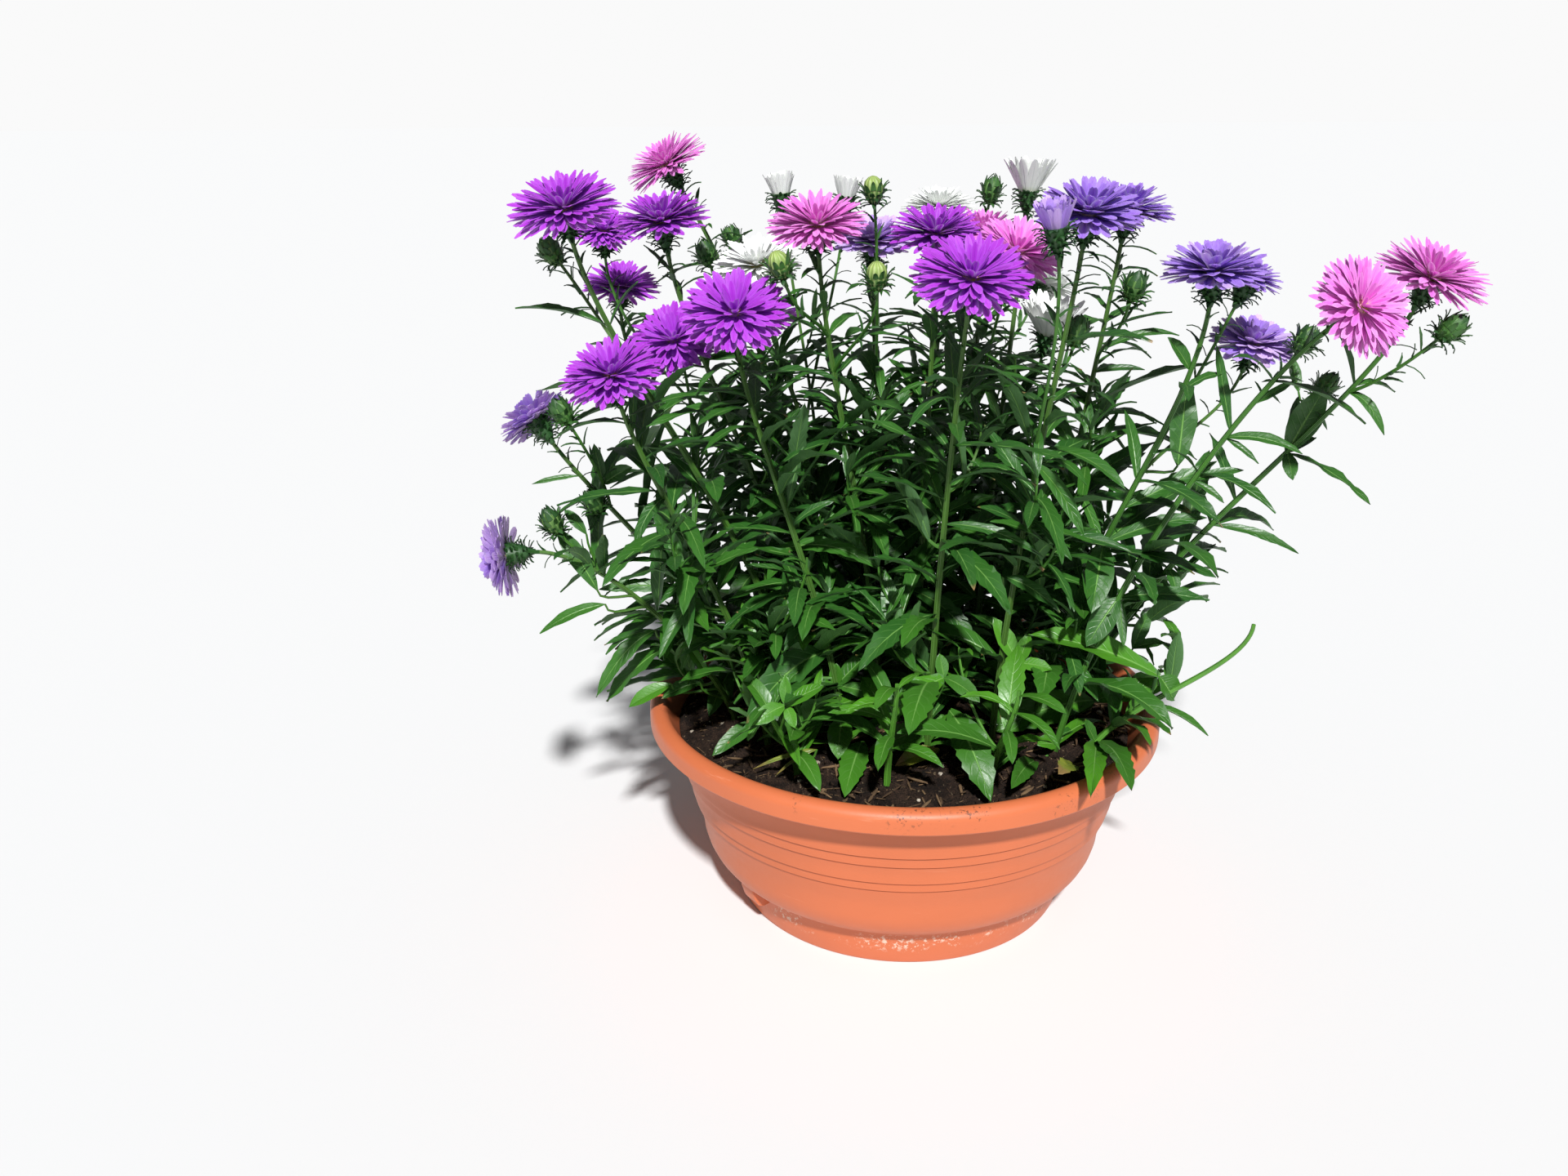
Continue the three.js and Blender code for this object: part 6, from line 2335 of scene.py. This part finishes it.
class ASTER_OT_studio(bpy.types.Operator):
    """Add the camera, the floor and the lights"""

    bl_idname = "aster.studio"
    bl_label = "Studio"

    def execute(self, context):
        studio = context.scene.aster_studio
        data = bpy.data.cameras.new("Camera")
        data.lens = studio.lens
        data.sensor_width = SENSOR_WIDTH
        camera = bpy.data.objects.new("Camera", data)
        camera.location = CAMERA_PLACE
        camera.rotation_euler = [math.radians(angle) for angle in CAMERA_TURN]
        context.scene.collection.objects.link(camera)
        context.scene.camera = camera
        clear_selection()
        bpy.ops.mesh.primitive_plane_add(size=FLOOR_WIDTH)
        floor = context.object
        floor.name = "Floor"
        ground = Finish("Studio Floor", 1.0, 0.0)
        ground.give("Base Color", (*studio.floor, 1))
        give_materials(floor, ground.material)
        light = bpy.data.lights.new("Sun", "SUN")
        light.energy = studio.sun
        light.angle = studio.sun_size
        lamp = bpy.data.objects.new("Sun", light)
        lamp.rotation_euler = Vector(SUN_WAY).to_track_quat("Z", "Y").to_euler()
        context.scene.collection.objects.link(lamp)
        context.scene.world = studio_world(studio.sky)
        context.scene.view_settings.view_transform = "Standard"
        return {"FINISHED"}


class ASTER_PT_panel(bpy.types.Panel):
    """The pieces in the order in which they are added"""

    bl_idname = "ASTER_PT_panel"
    bl_label = "Potted Asters"
    bl_space_type = "VIEW_3D"
    bl_region_type = "UI"
    bl_category = "Asters"

    def draw(self, context):
        for operator in OPERATORS:
            self.layout.operator(operator.bl_idname)


SETTINGS = {
    "aster_bowl": BowlSettings,
    "aster_soil": SoilSettings,
    "aster_foliage": FoliageSettings,
    "aster_bloom": BloomSettings,
    "aster_studio": StudioSettings,
}
OPERATORS = (ASTER_OT_studio, ASTER_OT_bowl, ASTER_OT_soil, ASTER_OT_stems, ASTER_OT_shoots, ASTER_OT_blooms)
CLASSES = (*SETTINGS.values(), *OPERATORS, ASTER_PT_panel)


def register():
    for one in CLASSES:
        bpy.utils.register_class(one)
    for name, group in SETTINGS.items():
        setattr(bpy.types.Scene, name, PointerProperty(type=group))


def unregister():
    for name in SETTINGS:
        delattr(bpy.types.Scene, name)
    for one in reversed(CLASSES):
        bpy.utils.unregister_class(one)


def main():
    register()
    bpy.ops.aster.studio()
    bpy.ops.aster.bowl()
    bpy.ops.aster.soil()
    bpy.ops.aster.stems()
    bpy.ops.aster.shoots()
    bpy.ops.aster.blooms()


if __name__ == "__main__":
    main()
